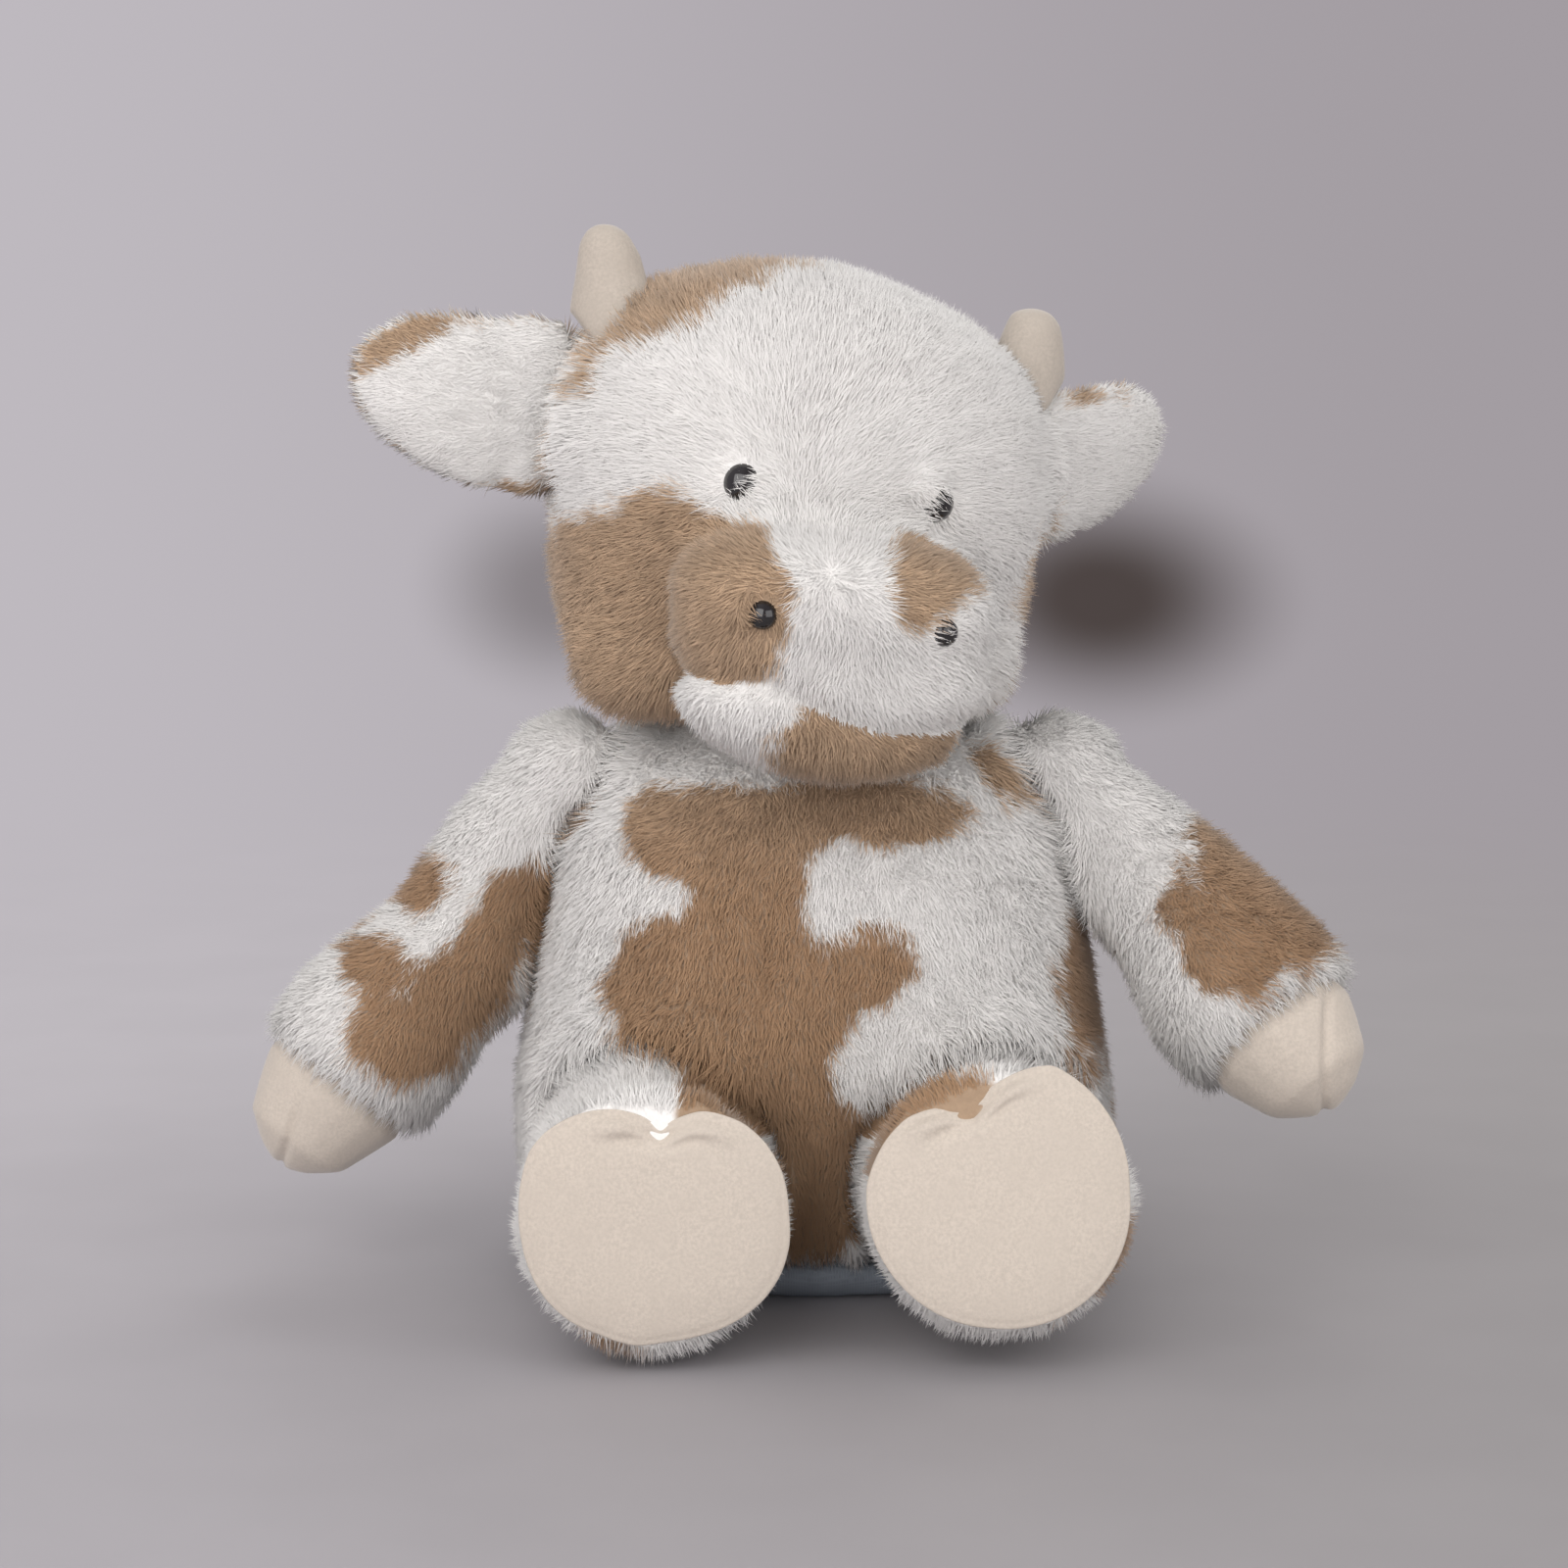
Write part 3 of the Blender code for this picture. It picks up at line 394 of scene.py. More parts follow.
MUZZLE_PATCHES = (
    (742, 612, 66, 84, 0), (736, 668, 46, 34, 0), (952, 576, 48, 44, 0), (934, 606, 22, 28, 0),
)
CHIN_PATCHES = ((884, 768, 98, 56, 0),)
LEG_PATCHES = {
    "right": ((600, 1376, 44, 16, 8),),
    "left": ((1160, 1300, 40, 70, 20), (1120, 1370, 46, 22, 0)),
}
PICTURE_BLEND = 9
PICTURE_STEP = 0.285 * MM
BACK_BLEND = 4 * MM
PATCH_FADE = 30 * MM


def patch_in_front(points, blobs, blend=PICTURE_BLEND):
    """How far points lie inside patches given in the front view."""
    return blot(seen_in_front(points), blobs, blend) * PICTURE_STEP


def front_patch(points, normals, blobs, level=0.0):
    """The front view's patches on the side that faces it."""
    return np.minimum(patch_in_front(points, blobs), (-normals[:, 1] - level) * PATCH_FADE)


def back_patch(points, normals, blobs):
    """Patches on the side that faces back, in millimetres across and up."""
    scaled = [(x * MM, z * MM, half_x * MM, half_z * MM, turn) for x, z, half_x, half_z, turn in blobs]
    inside = blot(points[:, (0, 2)], scaled, BACK_BLEND)
    return np.minimum(inside, (normals[:, 1] + 0.1) * PATCH_FADE)


def laid(normals, direction, least=1e-9):
    """A direction brought flat onto the surface, fading out below the least length."""
    direction = np.broadcast_to(direction, normals.shape)
    flat = direction - normals * np.sum(direction * normals, axis=1, keepdims=True)
    return flat / np.maximum(np.linalg.norm(flat, axis=1, keepdims=True), least)


# Node trees


def feed(tree, node, links):
    """Give a node's inputs their values or the sockets that feed them."""
    for key, value in links.items():
        if isinstance(value, bpy.types.NodeSocket):
            tree.links.new(value, node.inputs[key])
        else:
            node.inputs[key].default_value = value


def put(tree, kind, links=None, **settings):
    """Add a node with its settings, and feed its inputs."""
    node = tree.nodes.new(kind)
    for key, value in settings.items():
        setattr(node, key, value)
    feed(tree, node, links or {})
    return node


def out(tree, kind, links=None, **settings):
    """The first result of a new node."""
    return put(tree, kind, links, **settings).outputs[0]


def read(tree, name, kind="FLOAT"):
    """A named attribute in a Geometry Nodes tree."""
    return put(tree, "GeometryNodeInputNamedAttribute", {"Name": name}, data_type=kind).outputs["Attribute"]


def vector_math(tree, operation, *values):
    """One vector sum."""
    links = {}
    for index, value in enumerate(values):
        links["Scale" if operation == "SCALE" and index == 1 else index] = value
    return out(tree, "ShaderNodeVectorMath", links, operation=operation)


def number_math(tree, operation, *values):
    """One sum of numbers."""
    return out(tree, "ShaderNodeMath", dict(enumerate(values)), operation=operation)


def chance(tree, low, high, seed):
    """A number drawn for each strand."""
    return put(tree, "FunctionNodeRandomValue", {2: low, 3: high, "Seed": seed}, data_type="FLOAT").outputs[1]


def noted(tree, geometry, name, value, domain):
    """A geometry with a number kept on it under a name."""
    links = {"Geometry": geometry, "Name": name, "Value": value}
    return out(tree, "GeometryNodeStoreNamedAttribute", links, data_type="FLOAT", domain=domain)


def parts_of(tree, vector):
    """A vector's three parts."""
    return put(tree, "ShaderNodeSeparateXYZ", {0: vector}).outputs


def length_of(tree, vector):
    """A vector's length."""
    return put(tree, "ShaderNodeVectorMath", {0: vector}, operation="LENGTH").outputs["Value"]


def swirl(tree, size, seed):
    """A smooth field of directions with a given size of whorl."""
    place = out(tree, "GeometryNodeInputPosition")
    moved = vector_math(tree, "ADD", place, (seed, seed * 2.3, seed * 3.7))
    noise = put(tree, "ShaderNodeTexNoise", {"Vector": moved, "Scale": 1 / size, "Detail": 1.0})
    centred = vector_math(tree, "SUBTRACT", noise.outputs["Color"], (0.5, 0.5, 0.5))
    return vector_math(tree, "SCALE", centred, 2.0)


def pile_tree():
    """The pile: tapered strands all over a cloth, combed along it in tufts."""
    tree = bpy.data.node_groups.new("pile", "GeometryNodeTree")
    face = tree.interface
    face.new_socket("Geometry", in_out="OUTPUT", socket_type="NodeSocketGeometry")
    face.new_socket("Cloth", in_out="INPUT", socket_type="NodeSocketGeometry")
    for label in ("Strands per square metre", "Length", "Width", "Lift", "Whorl", "Tuft", "Stray"):
        face.new_socket(label, in_out="INPUT", socket_type="NodeSocketFloat")
    face.new_socket("Seed", in_out="INPUT", socket_type="NodeSocketInt")
    face.new_socket("Finish", in_out="INPUT", socket_type="NodeSocketMaterial")
    given = put(tree, "NodeGroupInput").outputs
    dense = number_math(tree, "MULTIPLY", given["Strands per square metre"], read(tree, "pile"))
    links = {"Mesh": given["Cloth"], "Density": dense, "Seed": given["Seed"]}
    roots = put(tree, "GeometryNodeDistributePointsOnFaces", links).outputs
    rise = vector_math(tree, "SCALE", roots["Normal"], given["Lift"])
    whorl = vector_math(tree, "SCALE", swirl(tree, 26 * MM, 1.7), given["Whorl"])
    tuft = vector_math(tree, "SCALE", swirl(tree, 5 * MM, 4.1), given["Tuft"])
    links = {0: (-1, -1, -1), 1: (1, 1, 1), "Seed": 3}
    stray = out(tree, "FunctionNodeRandomValue", links, data_type="FLOAT_VECTOR")
    stray = vector_math(tree, "SCALE", stray, given["Stray"])
    way = read(tree, "comb", "FLOAT_VECTOR")
    for part in (rise, whorl, tuft, stray):
        way = vector_math(tree, "ADD", way, part)
    inward = put(tree, "ShaderNodeVectorMath", {0: way, 1: roots["Normal"]}, operation="DOT_PRODUCT")
    lack = number_math(tree, "MAXIMUM", number_math(tree, "SUBTRACT", 0.35, inward.outputs["Value"]), 0.0)
    way = vector_math(tree, "ADD", way, vector_math(tree, "SCALE", roots["Normal"], lack))
    turn = out(tree, "FunctionNodeAlignRotationToVector", {"Vector": way}, axis="Z")
    spin = chance(tree, 0.0, math.tau, 5)
    roll = out(tree, "FunctionNodeAxisAngleToRotation", {"Axis": (0, 0, 1), "Angle": spin})
    turn = out(tree, "FunctionNodeRotateRotation", {"Rotation": turn, "Rotate By": roll}, rotation_space="LOCAL")
    size = chance(tree, 0.72, 1.12, 7)
    reach = number_math(tree, "MULTIPLY", number_math(tree, "MULTIPLY", size, given["Length"]), read(tree, "nap"))
    scale = out(tree, "ShaderNodeCombineXYZ", {0: given["Width"], 1: given["Width"], 2: reach})
    cone = {"Vertices": 3, "Side Segments": 1, "Radius Top": 0.0, "Radius Bottom": 0.5, "Depth": 1.0}
    strand = put(tree, "GeometryNodeMeshCone", cone, fill_type="NGON").outputs["Mesh"]
    height = parts_of(tree, out(tree, "GeometryNodeInputPosition"))[2]
    strand = noted(tree, strand, "tip", height, "POINT")
    links = {"Points": roots["Points"], "Instance": strand, "Rotation": turn, "Scale": scale}
    grown = out(tree, "GeometryNodeInstanceOnPoints", links)
    grown = noted(tree, grown, "strand", chance(tree, 0.0, 1.0, 11), "INSTANCE")
    for name in ("comb", "pile", "nap"):
        grown = out(tree, "GeometryNodeRemoveAttribute", {"Geometry": grown, "Name": name})
    grown = out(tree, "GeometryNodeRealizeInstances", {"Geometry": grown})
    above = vector_math(tree, "MAXIMUM", out(tree, "GeometryNodeInputPosition"), (-10.0, -10.0, FLOOR_CLEAR))
    grown = out(tree, "GeometryNodeSetPosition", {"Geometry": grown, "Position": above})
    grown = out(tree, "GeometryNodeSetMaterial", {"Geometry": grown, "Material": given["Finish"]})
    put(tree, "NodeGroupOutput", {"Geometry": grown})
    return tree


def give(modifier, label, value):
    """Set a Geometry Nodes modifier's named input."""
    for item in modifier.node_group.interface.items_tree:
        if item.item_type == "SOCKET" and item.in_out == "INPUT" and item.name == label:
            modifier[item.identifier] = value
            return
    raise KeyError(label)


def grown_pile(name, cloth, body, slot, where=None, **looks):
    """Pile on the faces of a cloth whose middles pass a test, as one piece on a body."""
    mesh = cloth.data.copy()
    mesh.name = name
    if where:
        middles = np.empty(len(mesh.polygons) * 3)
        mesh.polygons.foreach_get("center", middles)
        kept = where(middles.reshape(-1, 3))
        bm = bmesh.new()
        bm.from_mesh(mesh)
        bm.faces.ensure_lookup_table()
        gone = [bm.faces[index] for index in np.flatnonzero(~kept)]
        bmesh.ops.delete(bm, geom=gone, context="FACES")
        bm.to_mesh(mesh)
        bm.free()
    piece = add_object(name, mesh)
    pile = piece.modifiers.new("pile", "NODES")
    pile.node_group = PILE
    sizes = {
        "Strands per square metre": PILE_DENSITY,
        "Length": PILE_LENGTH,
        "Width": PILE_WIDTH,
        "Seed": sum(map(ord, name)),
        "Finish": FUR,
    }
    for label, value in (sizes | PILE_LOOKS | looks).items():
        give(pile, label, value)
    settle(piece)
    piece.data.shade_smooth()
    lit_as_cloth(piece.data)
    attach(piece, body)
    return piece


def lit_as_cloth(mesh):
    """Let the strands take the light mostly as the cloth under them does, so that dense pile looks soft."""
    skin = mesh.attributes["skin"]
    found = np.empty(len(mesh.vertices) * 3)
    skin.data.foreach_get("vector", found)
    leaning = unit(found.reshape(-1, 3) + PILE_ROUNDNESS * normals_of(mesh))
    mesh.attributes.remove(skin)
    mesh.normals_split_custom_set_from_vertices(leaning)


# Finishes


def new_finish(name):
    """A material with a Principled shader, and its tree."""
    material = bpy.data.materials.new(name)
    material.use_nodes = True
    tree = material.node_tree
    return material, tree, tree.nodes["Principled BSDF"]


def attribute(tree, name):
    """A number kept on the mesh, in a material."""
    return put(tree, "ShaderNodeAttribute", attribute_name=name).outputs["Fac"]


def mixed(tree, share, first, second):
    """Two colours mixed by a share."""
    node = put(tree, "ShaderNodeMix", data_type="RGBA")
    for socket, value in zip((node.inputs["Factor"], node.inputs[6], node.inputs[7]), (share, first, second)):
        if isinstance(value, bpy.types.NodeSocket):
            tree.links.new(value, socket)
        elif socket.type == "RGBA":
            socket.default_value = (*value, 1.0) if len(value) == 3 else value
        else:
            socket.default_value = value
    return node.outputs[2]


def ranged(tree, value, low, high, to_low=0.0, to_high=1.0):
    """A number brought smoothly from one range to another."""
    links = {"Value": value, "From Min": low, "From Max": high, "To Min": to_low, "To Max": to_high}
    return out(tree, "ShaderNodeMapRange", links, interpolation_type="SMOOTHSTEP")


def dimmed(colour, share):
    """A colour times a share, up to full light."""
    return tuple(min(part * share, 1.0) for part in colour)


def own_place(tree):
    """The object's own coordinates."""
    return put(tree, "ShaderNodeTexCoord").outputs["Object"]


def noise_at(tree, size, detail=2.0, roughness=0.5):
    """Noise on the object's own coordinates, with a given size of grain."""
    links = {"Vector": own_place(tree), "Scale": 1 / size, "Detail": detail, "Roughness": roughness}
    return put(tree, "ShaderNodeTexNoise", links).outputs["Fac"]


def bumped(tree, strength, distance, height):
    """A fine relief, for a shader's normal."""
    return out(tree, "ShaderNodeBump", {"Strength": strength, "Distance": distance, "Height": height})


def tinted(tree, spread):
    """The pile's colour by patch, tan strands mingling with white ones along the edge."""
    wobble = ranged(tree, noise_at(tree, 14 * MM), 0.25, 0.75, -2.2 * MM, 2.2 * MM)
    chance = ranged(tree, attribute(tree, "strand"), 0.0, 1.0, -spread, spread)
    inside = number_math(tree, "ADD", attribute(tree, "patch"), number_math(tree, "ADD", wobble, chance))
    return ranged(tree, inside, -1.6 * MM, 1.6 * MM)


def fur_finish():
    """White and tan pile, with painted shade darkening each strand towards its root, and slightly different from strand
    to strand.
    """
    material, tree, shader = new_finish("pile white and tan")
    share = tinted(tree, 1.3 * MM)
    white = mixed(tree, attribute(tree, "strand"), dimmed(WHITE_PILE, 0.95), WHITE_PILE)
    tan_dark = dimmed(TAN_PILE, 0.70)
    tan = mixed(tree, attribute(tree, "strand"), tan_dark, dimmed(TAN_PILE, 1.25))
    cloudy = ranged(tree, noise_at(tree, 9 * MM, 3.0), 0.35, 0.7, 0.0, 0.5)
    tan = mixed(tree, cloudy, tan, tan_dark)
    # The tan darker and redder towards the bottom, below 150 mm
    height = parts_of(tree, own_place(tree))[2]
    low_share = number_math(tree, "MULTIPLY", ranged(tree, height, 150 * MM, 110 * MM), 0.75)
    tan = mixed(tree, low_share, tan, LOW_TAN)
    colour = mixed(tree, share, white, tan)
    # Painted shade: each strand darker towards its root, where the pile shades it
    shade = ranged(tree, attribute(tree, "tip"), 0.0, 0.75, 0.95, 1.0)
    deep = put(tree, "ShaderNodeCombineColor", {0: shade, 1: shade, 2: shade}).outputs[0]
    node = put(tree, "ShaderNodeMix", data_type="RGBA", blend_type="MULTIPLY")
    feed(tree, node, {"Factor": 1.0, 6: colour, 7: deep})
    rough = ranged(tree, attribute(tree, "strand"), 0.0, 1.0, 0.82, 0.95)
    feed(tree, shader, {"Base Color": node.outputs[2], "Roughness": rough, "Specular IOR Level": 0.25})
    feed(tree, shader, {"Sheen Weight": 0.25, "Sheen Roughness": 0.5})
    return material


def backing_finish():
    """The knitted cloth that carries the pile, coloured as the pile but darker, as painted shade of the depth between
    the strands.
    """
    material, tree, shader = new_finish("knit backing")
    share = tinted(tree, 0.2 * MM)
    # Painted shade: the backing darker than the pile that it carries
    white = mixed(tree, noise_at(tree, 2 * MM), dimmed(WHITE_PILE, 0.84), dimmed(WHITE_PILE, 0.94))
    tan = mixed(tree, noise_at(tree, 2 * MM), dimmed(TAN_PILE, 0.55), dimmed(TAN_PILE, 0.8))
    rough = ranged(tree, noise_at(tree, 3 * MM), 0.3, 0.7, 0.88, 0.98)
    relief = bumped(tree, 0.6, 0.6 * MM, noise_at(tree, 1.1 * MM, 3.0))
    feed(tree, shader, {"Base Color": mixed(tree, share, white, tan), "Roughness": rough, "Normal": relief})
    return material


def suede_finish():
    """Brushed cream suede cloth: a short nap, lighter and darker where it is stroked."""
    material, tree, shader = new_finish("cream suede")
    grain = noise_at(tree, 0.9 * MM, 4.0, 0.6)
    stroke = noise_at(tree, 11 * MM, 2.0)
    light = mixed(tree, ranged(tree, grain, 0.3, 0.7), dimmed(CREAM_SUEDE, 0.85), CREAM_SUEDE)
    colour = mixed(tree, ranged(tree, stroke, 0.35, 0.7, 0.0, 0.55), light, dimmed(CREAM_SUEDE, 0.90))
    # Painted shade: the suede darker above 200 mm, on the horns
    height = parts_of(tree, own_place(tree))[2]
    top_shaded = vector_math(tree, "SCALE", colour, ranged(tree, height, 200 * MM, 250 * MM, 1.0, 0.86))
    rough = ranged(tree, grain, 0.3, 0.7, 0.85, 0.98)
    feed(tree, shader, {"Base Color": top_shaded, "Roughness": rough, "Normal": bumped(tree, 0.5, 0.25 * MM, grain)})
    feed(tree, shader, {"Specular IOR Level": 0.2, "Sheen Weight": 0.35, "Sheen Roughness": 0.4})
    return material


def weave_finish():
    """Smooth grey-blue woven cloth under the seat."""
    material, tree, shader = new_finish("grey blue weave")
    place = own_place(tree)
    threads = []
    for direction in ("X", "Y"):
        wave = put(
            tree,
            "ShaderNodeTexWave",
            {"Vector": place, "Scale": 1 / (2.4 * MM), "Distortion": 0.4},
            wave_type="BANDS",
            bands_direction=direction,
        )
        threads.append(wave.outputs["Fac"])
    weave = number_math(tree, "MAXIMUM", *threads)
    dark = dimmed(BASE_GREY, 0.82)
    worn = ranged(tree, noise_at(tree, 16 * MM), 0.3, 0.7, 0.0, 0.4)
    colour = mixed(tree, worn, mixed(tree, weave, dark, BASE_GREY), dark)
    rough = ranged(tree, weave, 0.0, 1.0, 0.85, 0.7)
    feed(tree, shader, {"Base Color": colour, "Roughness": rough, "Normal": bumped(tree, 0.4, 0.2 * MM, weave)})
    return material


def gloss_finish():
    """Polished black plastic of the eyes and nostrils, with the faint haze of handling."""
    material, tree, shader = new_finish("polished black")
    haze = noise_at(tree, 1.5 * MM, 4.0)
    colour = mixed(tree, haze, (0.006, 0.005, 0.006), (0.014, 0.012, 0.012))
    feed(tree, shader, {"Base Color": colour, "Roughness": ranged(tree, haze, 0.3, 0.8, 0.05, 0.14)})
    feed(tree, shader, {"Coat Weight": 0.6, "Coat Roughness": 0.04})
    return material


def plastic_finish():
    """Moulded pale plastic of the lock washers."""
    material, tree, shader = new_finish("pale washer plastic")
    cloud = noise_at(tree, 2 * MM, 3.0)
    colour = mixed(tree, cloud, (0.60, 0.60, 0.58), (0.74, 0.74, 0.72))
    rough = ranged(tree, cloud, 0.3, 0.7, 0.35, 0.5)
    feed(tree, shader, {"Base Color": colour, "Roughness": rough, "Normal": bumped(tree, 0.15, 0.1 * MM, cloud)})
    return material


PILE = pile_tree()
FUR = fur_finish()
BACKING = backing_finish()
SUEDE = suede_finish()
WEAVE = weave_finish()
GLOSS = gloss_finish()
PLASTIC = plastic_finish()


def pivot(name):
    """A joint's place."""
    for joint in frame["joints"]:
        if joint["name"] == name:
            return np.array(joint["pos_m"])
    raise KeyError(name)


def middle(node):
    """The middle of a CAD node's box."""
    low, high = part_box(node)
    return np.array((low + high) / 2)


def toward(place, other):
    """The direction from one place to another."""
    return unit((np.asarray(other) - np.asarray(place))[None, :])[0]


SHOULDER_SEAT = 22.8 * MM
HIP_SEAT = 38.8 * MM
NECK_SEAT = 66.8 * MM
TAIL_SEAT = 10.8 * MM
COLLAR_RISE = 4.5 * MM
SEATS = [(pivot(f"arm_{side}_lift"), SHOULDER_SEAT) for side in SIDES]
SEATS += [(pivot(f"leg_{side}_splay"), HIP_SEAT) for side in SIDES]
SEATS += [(pivot("head_turn"), NECK_SEAT), (pivot("tail_swing"), TAIL_SEAT)]
BODY_HULL = hull_of("body_skin")
HEAD_HULL = hull_of("head_skin")
MUZZLE_HULL = hull_of("muzzle_skin")
CHIN_HULL = hull_of("chin_skin")


def calm_normals(mesh, weight, rounds=24):
    """Normals evened out over the surface, where the bare places count for nothing."""
    pairs = np.empty(len(mesh.edges) * 2, int)
    mesh.edges.foreach_get("vertices", pairs)
    pairs = pairs.reshape(-1, 2)
    normals = normals_of(mesh)
    for _ in range(rounds):
        total = normals * weight[:, None]
        lent = total.copy()
        np.add.at(total, pairs[:, 0], lent[pairs[:, 1]])
        np.add.at(total, pairs[:, 1], lent[pairs[:, 0]])
        found = np.linalg.norm(total, axis=1) > 1e-6
        normals[found] = unit(total[found])
        weight = np.maximum(weight, found * 0.05)
    return normals


def combed_over(comb, normals, way, near, share):
    """The comb turned towards a way where a part is near."""
    return unit(comb + laid(normals, way) * near[:, None] * share)


def keep_fields(cloth, patch, comb, pile=1.0, nap=1.0, lean=0.0):
    """Store what the pile and the finishes read; the lean turns the pile's light towards an open side of a seam."""
    mesh = cloth.data
    count = len(mesh.vertices)
    store(mesh, "skin", unit(calm_normals(mesh, np.broadcast_to(pile, count) + 0.001) + lean))
    store(mesh, "patch", patch)
    store(mesh, "comb", comb)
    store(mesh, "pile", np.broadcast_to(pile, count))
    store(mesh, "nap", np.broadcast_to(nap, count))


def dressed(piece, finish, body, nodes=()):
    """Give a piece its finish, body and the CAD nodes that it stands for."""
    piece.data.materials.clear()
    piece.data.materials.append(finish)
    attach(piece, body)
    if nodes:
        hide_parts(*nodes)


def backed(cloth, body, slot, fill, *nodes):
    """Finish a stuffed cloth form, which stands for its CAD skin and stuffing."""
    store(cloth.data, "strand", np.full(len(cloth.data.vertices), 0.5))
    dressed(cloth, BACKING, body, nodes)


def button_place(node):
    """The top of an eye or nostril in the CAD, the way it faces and its radius."""
    points = cad_points(node)
    centre = points.mean(0)
    values, axes = np.linalg.eigh(np.cov((points - centre).T))
    gaps = [abs(values[i] - values[(i + 1) % 3]) + abs(values[i] - values[(i + 2) % 3]) for i in range(3)]
    axis = axes[:, int(np.argmax(gaps))]
    if axis[1] > 0:
        axis = -axis
    off = points - centre
    along = off @ axis
    radius = np.linalg.norm(off - np.outer(along, axis), axis=1).max()
    return centre + axis * along.max(), axis, radius


def skinned(name, bm, rows, sides):
    """A closed form, each row of points joined to the next; a row of one point ends it."""
    for first, second in zip(rows, rows[1:]):
        for step in range(sides):
            after = (step + 1) % sides
            corners = [first[step % len(first)], first[after % len(first)]]
            corners += [second[after % len(second)], second[step % len(second)]]
            bm.faces.new(list(dict.fromkeys(corners)))
    bmesh.ops.recalc_face_normals(bm, faces=bm.faces)
    return add_mesh(name, bm)


def turned(name, base, axis, profile, sides=40, stretch=1.0):
    """A profile of (across, along) turned about an axis, closed at both ends."""
    bm = bmesh.new()
    rows = []
    turn = Vector(axis).to_track_quat("Z", "Y").to_matrix()
    for across, up in profile:
        row = []
        for step in range(sides if across > 1e-7 else 1):
            angle = math.tau * step / sides
            place = Vector((math.cos(angle) * across * stretch, math.sin(angle) * across, up))
            row.append(bm.verts.new(Vector(base) + turn @ place))
        rows.append(row)
    return skinned(name, bm, rows, sides)


def make_button(name, body, sunk):
    """A safety eye or nostril: a polished dome with a rolled rim, sunk in the pile."""
    top, axis, radius = button_place(name)
    top = top - axis * sunk
    base = top - axis * radius * 0.82
    profile = [(0, -0.9), (0.5, -0.9), (0.86, -0.62), (0.97, -0.35), (1.0, -0.12)]
    profile += [(math.cos(step * math.pi / 28), math.sin(step * math.pi / 28) * 0.82) for step in range(0, 15)]
    profile = [(across * radius, up * radius) for across, up in profile]
    dressed(turned(name + "_dome", base, axis, profile), GLOSS, body, (name,))
    return top, axis, radius


def make_body():
    """The body's cloth and pile, its seat panel and the stuffing of the neck."""
    nodes = ("body_skin", "body_stuffing", "pellet_bag")

    def freedom(points):
        held = [ramp(away_from(points, place) - radius, 1 * MM, 9 * MM) for place, radius in SEATS]
        return 0.15 + 0.85 * np.min(held, axis=0)

    def collars(points):
        total = np.zeros(len(points))
        for (place, radius), low in zip(SEATS[:4], (-6 * MM, -6 * MM, 20 * MM, 20 * MM)):
            close = bell(away_from(points, place) - radius, 9 * MM)
            above = ramp(points[:, 2] - place[2], low, low + 14 * MM)
            total -= COLLAR_RISE * close * above * ramp(-points[:, 1], -12 * MM, 0)
        return total

    cloth = cloth_form("body_cloth", nodes, CLOTH_VOXEL, BODY_PILE_HEIGHT, freedom=freedom, crease=collars)
    points, normals = surface(cloth)
    patch = np.maximum(
        front_patch(points, normals, BODY_FRONT_PATCHES),
        back_patch(points, normals, BODY_BACK_PATCHES),
    )
    comb = laid(normals, (0, 0, -1))
    nap = np.ones(len(points))
    for place, radius in (SEATS[0], SEATS[1], SEATS[4]):
        near = 1 - ramp(away_from(points, place) - radius, 1 * MM, 11 * MM)
        over = unit(place - points) if place[2] > 200 * MM else (np.sign(place[0]), 0, -0.2)
        comb = combed_over(comb, normals, over, near, 2.5)
        nap = nap + 0.9 * near
    for place, radius in SEATS[2:4]:
        near = (1 - ramp(away_from(points, place) - radius, 1 * MM, 11 * MM)) * ramp(points[:, 2], 55 * MM, 70 * MM)
        nap = nap + 0.9 * near
    grown = [ramp(away_from(points, place) - radius, 0.2 * MM, 1.2 * MM) for place, radius in SEATS]
    bare = np.minimum(np.min(grown, axis=0), ramp(points[:, 2], 9 * MM, 12 * MM))
    keep_fields(cloth, patch, comb, bare, nap)
    for name, where in (
        ("body_front_right_pile", lambda m: (m[:, 1] < 0) & (m[:, 0] < 0)),
        ("body_front_left_pile", lambda m: (m[:, 1] < 0) & (m[:, 0] >= 0)),
        ("body_back_right_pile", lambda m: (m[:, 1] >= 0) & (m[:, 0] < 0)),
        ("body_back_left_pile", lambda m: (m[:, 1] >= 0) & (m[:, 0] >= 0)),
    ):
        grown_pile(name, cloth, "body", "white_fur", where)
    backed(cloth, "body", "white_fur", 0.8, *nodes)

    seat = gathered("seat_panel", ("base_panel",))
    softened(seat, 2.5 * MM, 2)
    dressed(seat, WEAVE, "body", ("base_panel",))

    plug = gathered("neck_plug", ("neck_stuffing",))
    softened(plug, 2.5 * MM, 2)
    store(plug.data, "patch", np.full(len(plug.data.vertices), -1.0))
    backed(plug, "neck", "stuffing", 0.9, "neck_stuffing")
    return cloth


def on_pouch(points):
    """True where points belong to the muzzle or the chin."""
    pouch = np.minimum(outside(MUZZLE_HULL, points), outside(CHIN_HULL, points))
    return (pouch < outside(HEAD_HULL, points)) & (points[:, 1] < -40 * MM)


def away_from_line(places, line):
    """How far flat places are from a line of corners, and how far above it they lie, both in picture points."""
    far = np.full(len(places), np.inf)
    for start, end in zip(line, line[1:]):
        start, end = np.array(start, float), np.array(end, float)
        way = end - start
        share = np.clip((places - start) @ way / (way @ way), 0, 1)
        far = np.minimum(far, np.linalg.norm(places - start - share[:, None] * way, axis=1))
    xs, ys = zip(*line)
    return far, np.interp(places[:, 0], xs, ys) - places[:, 1]


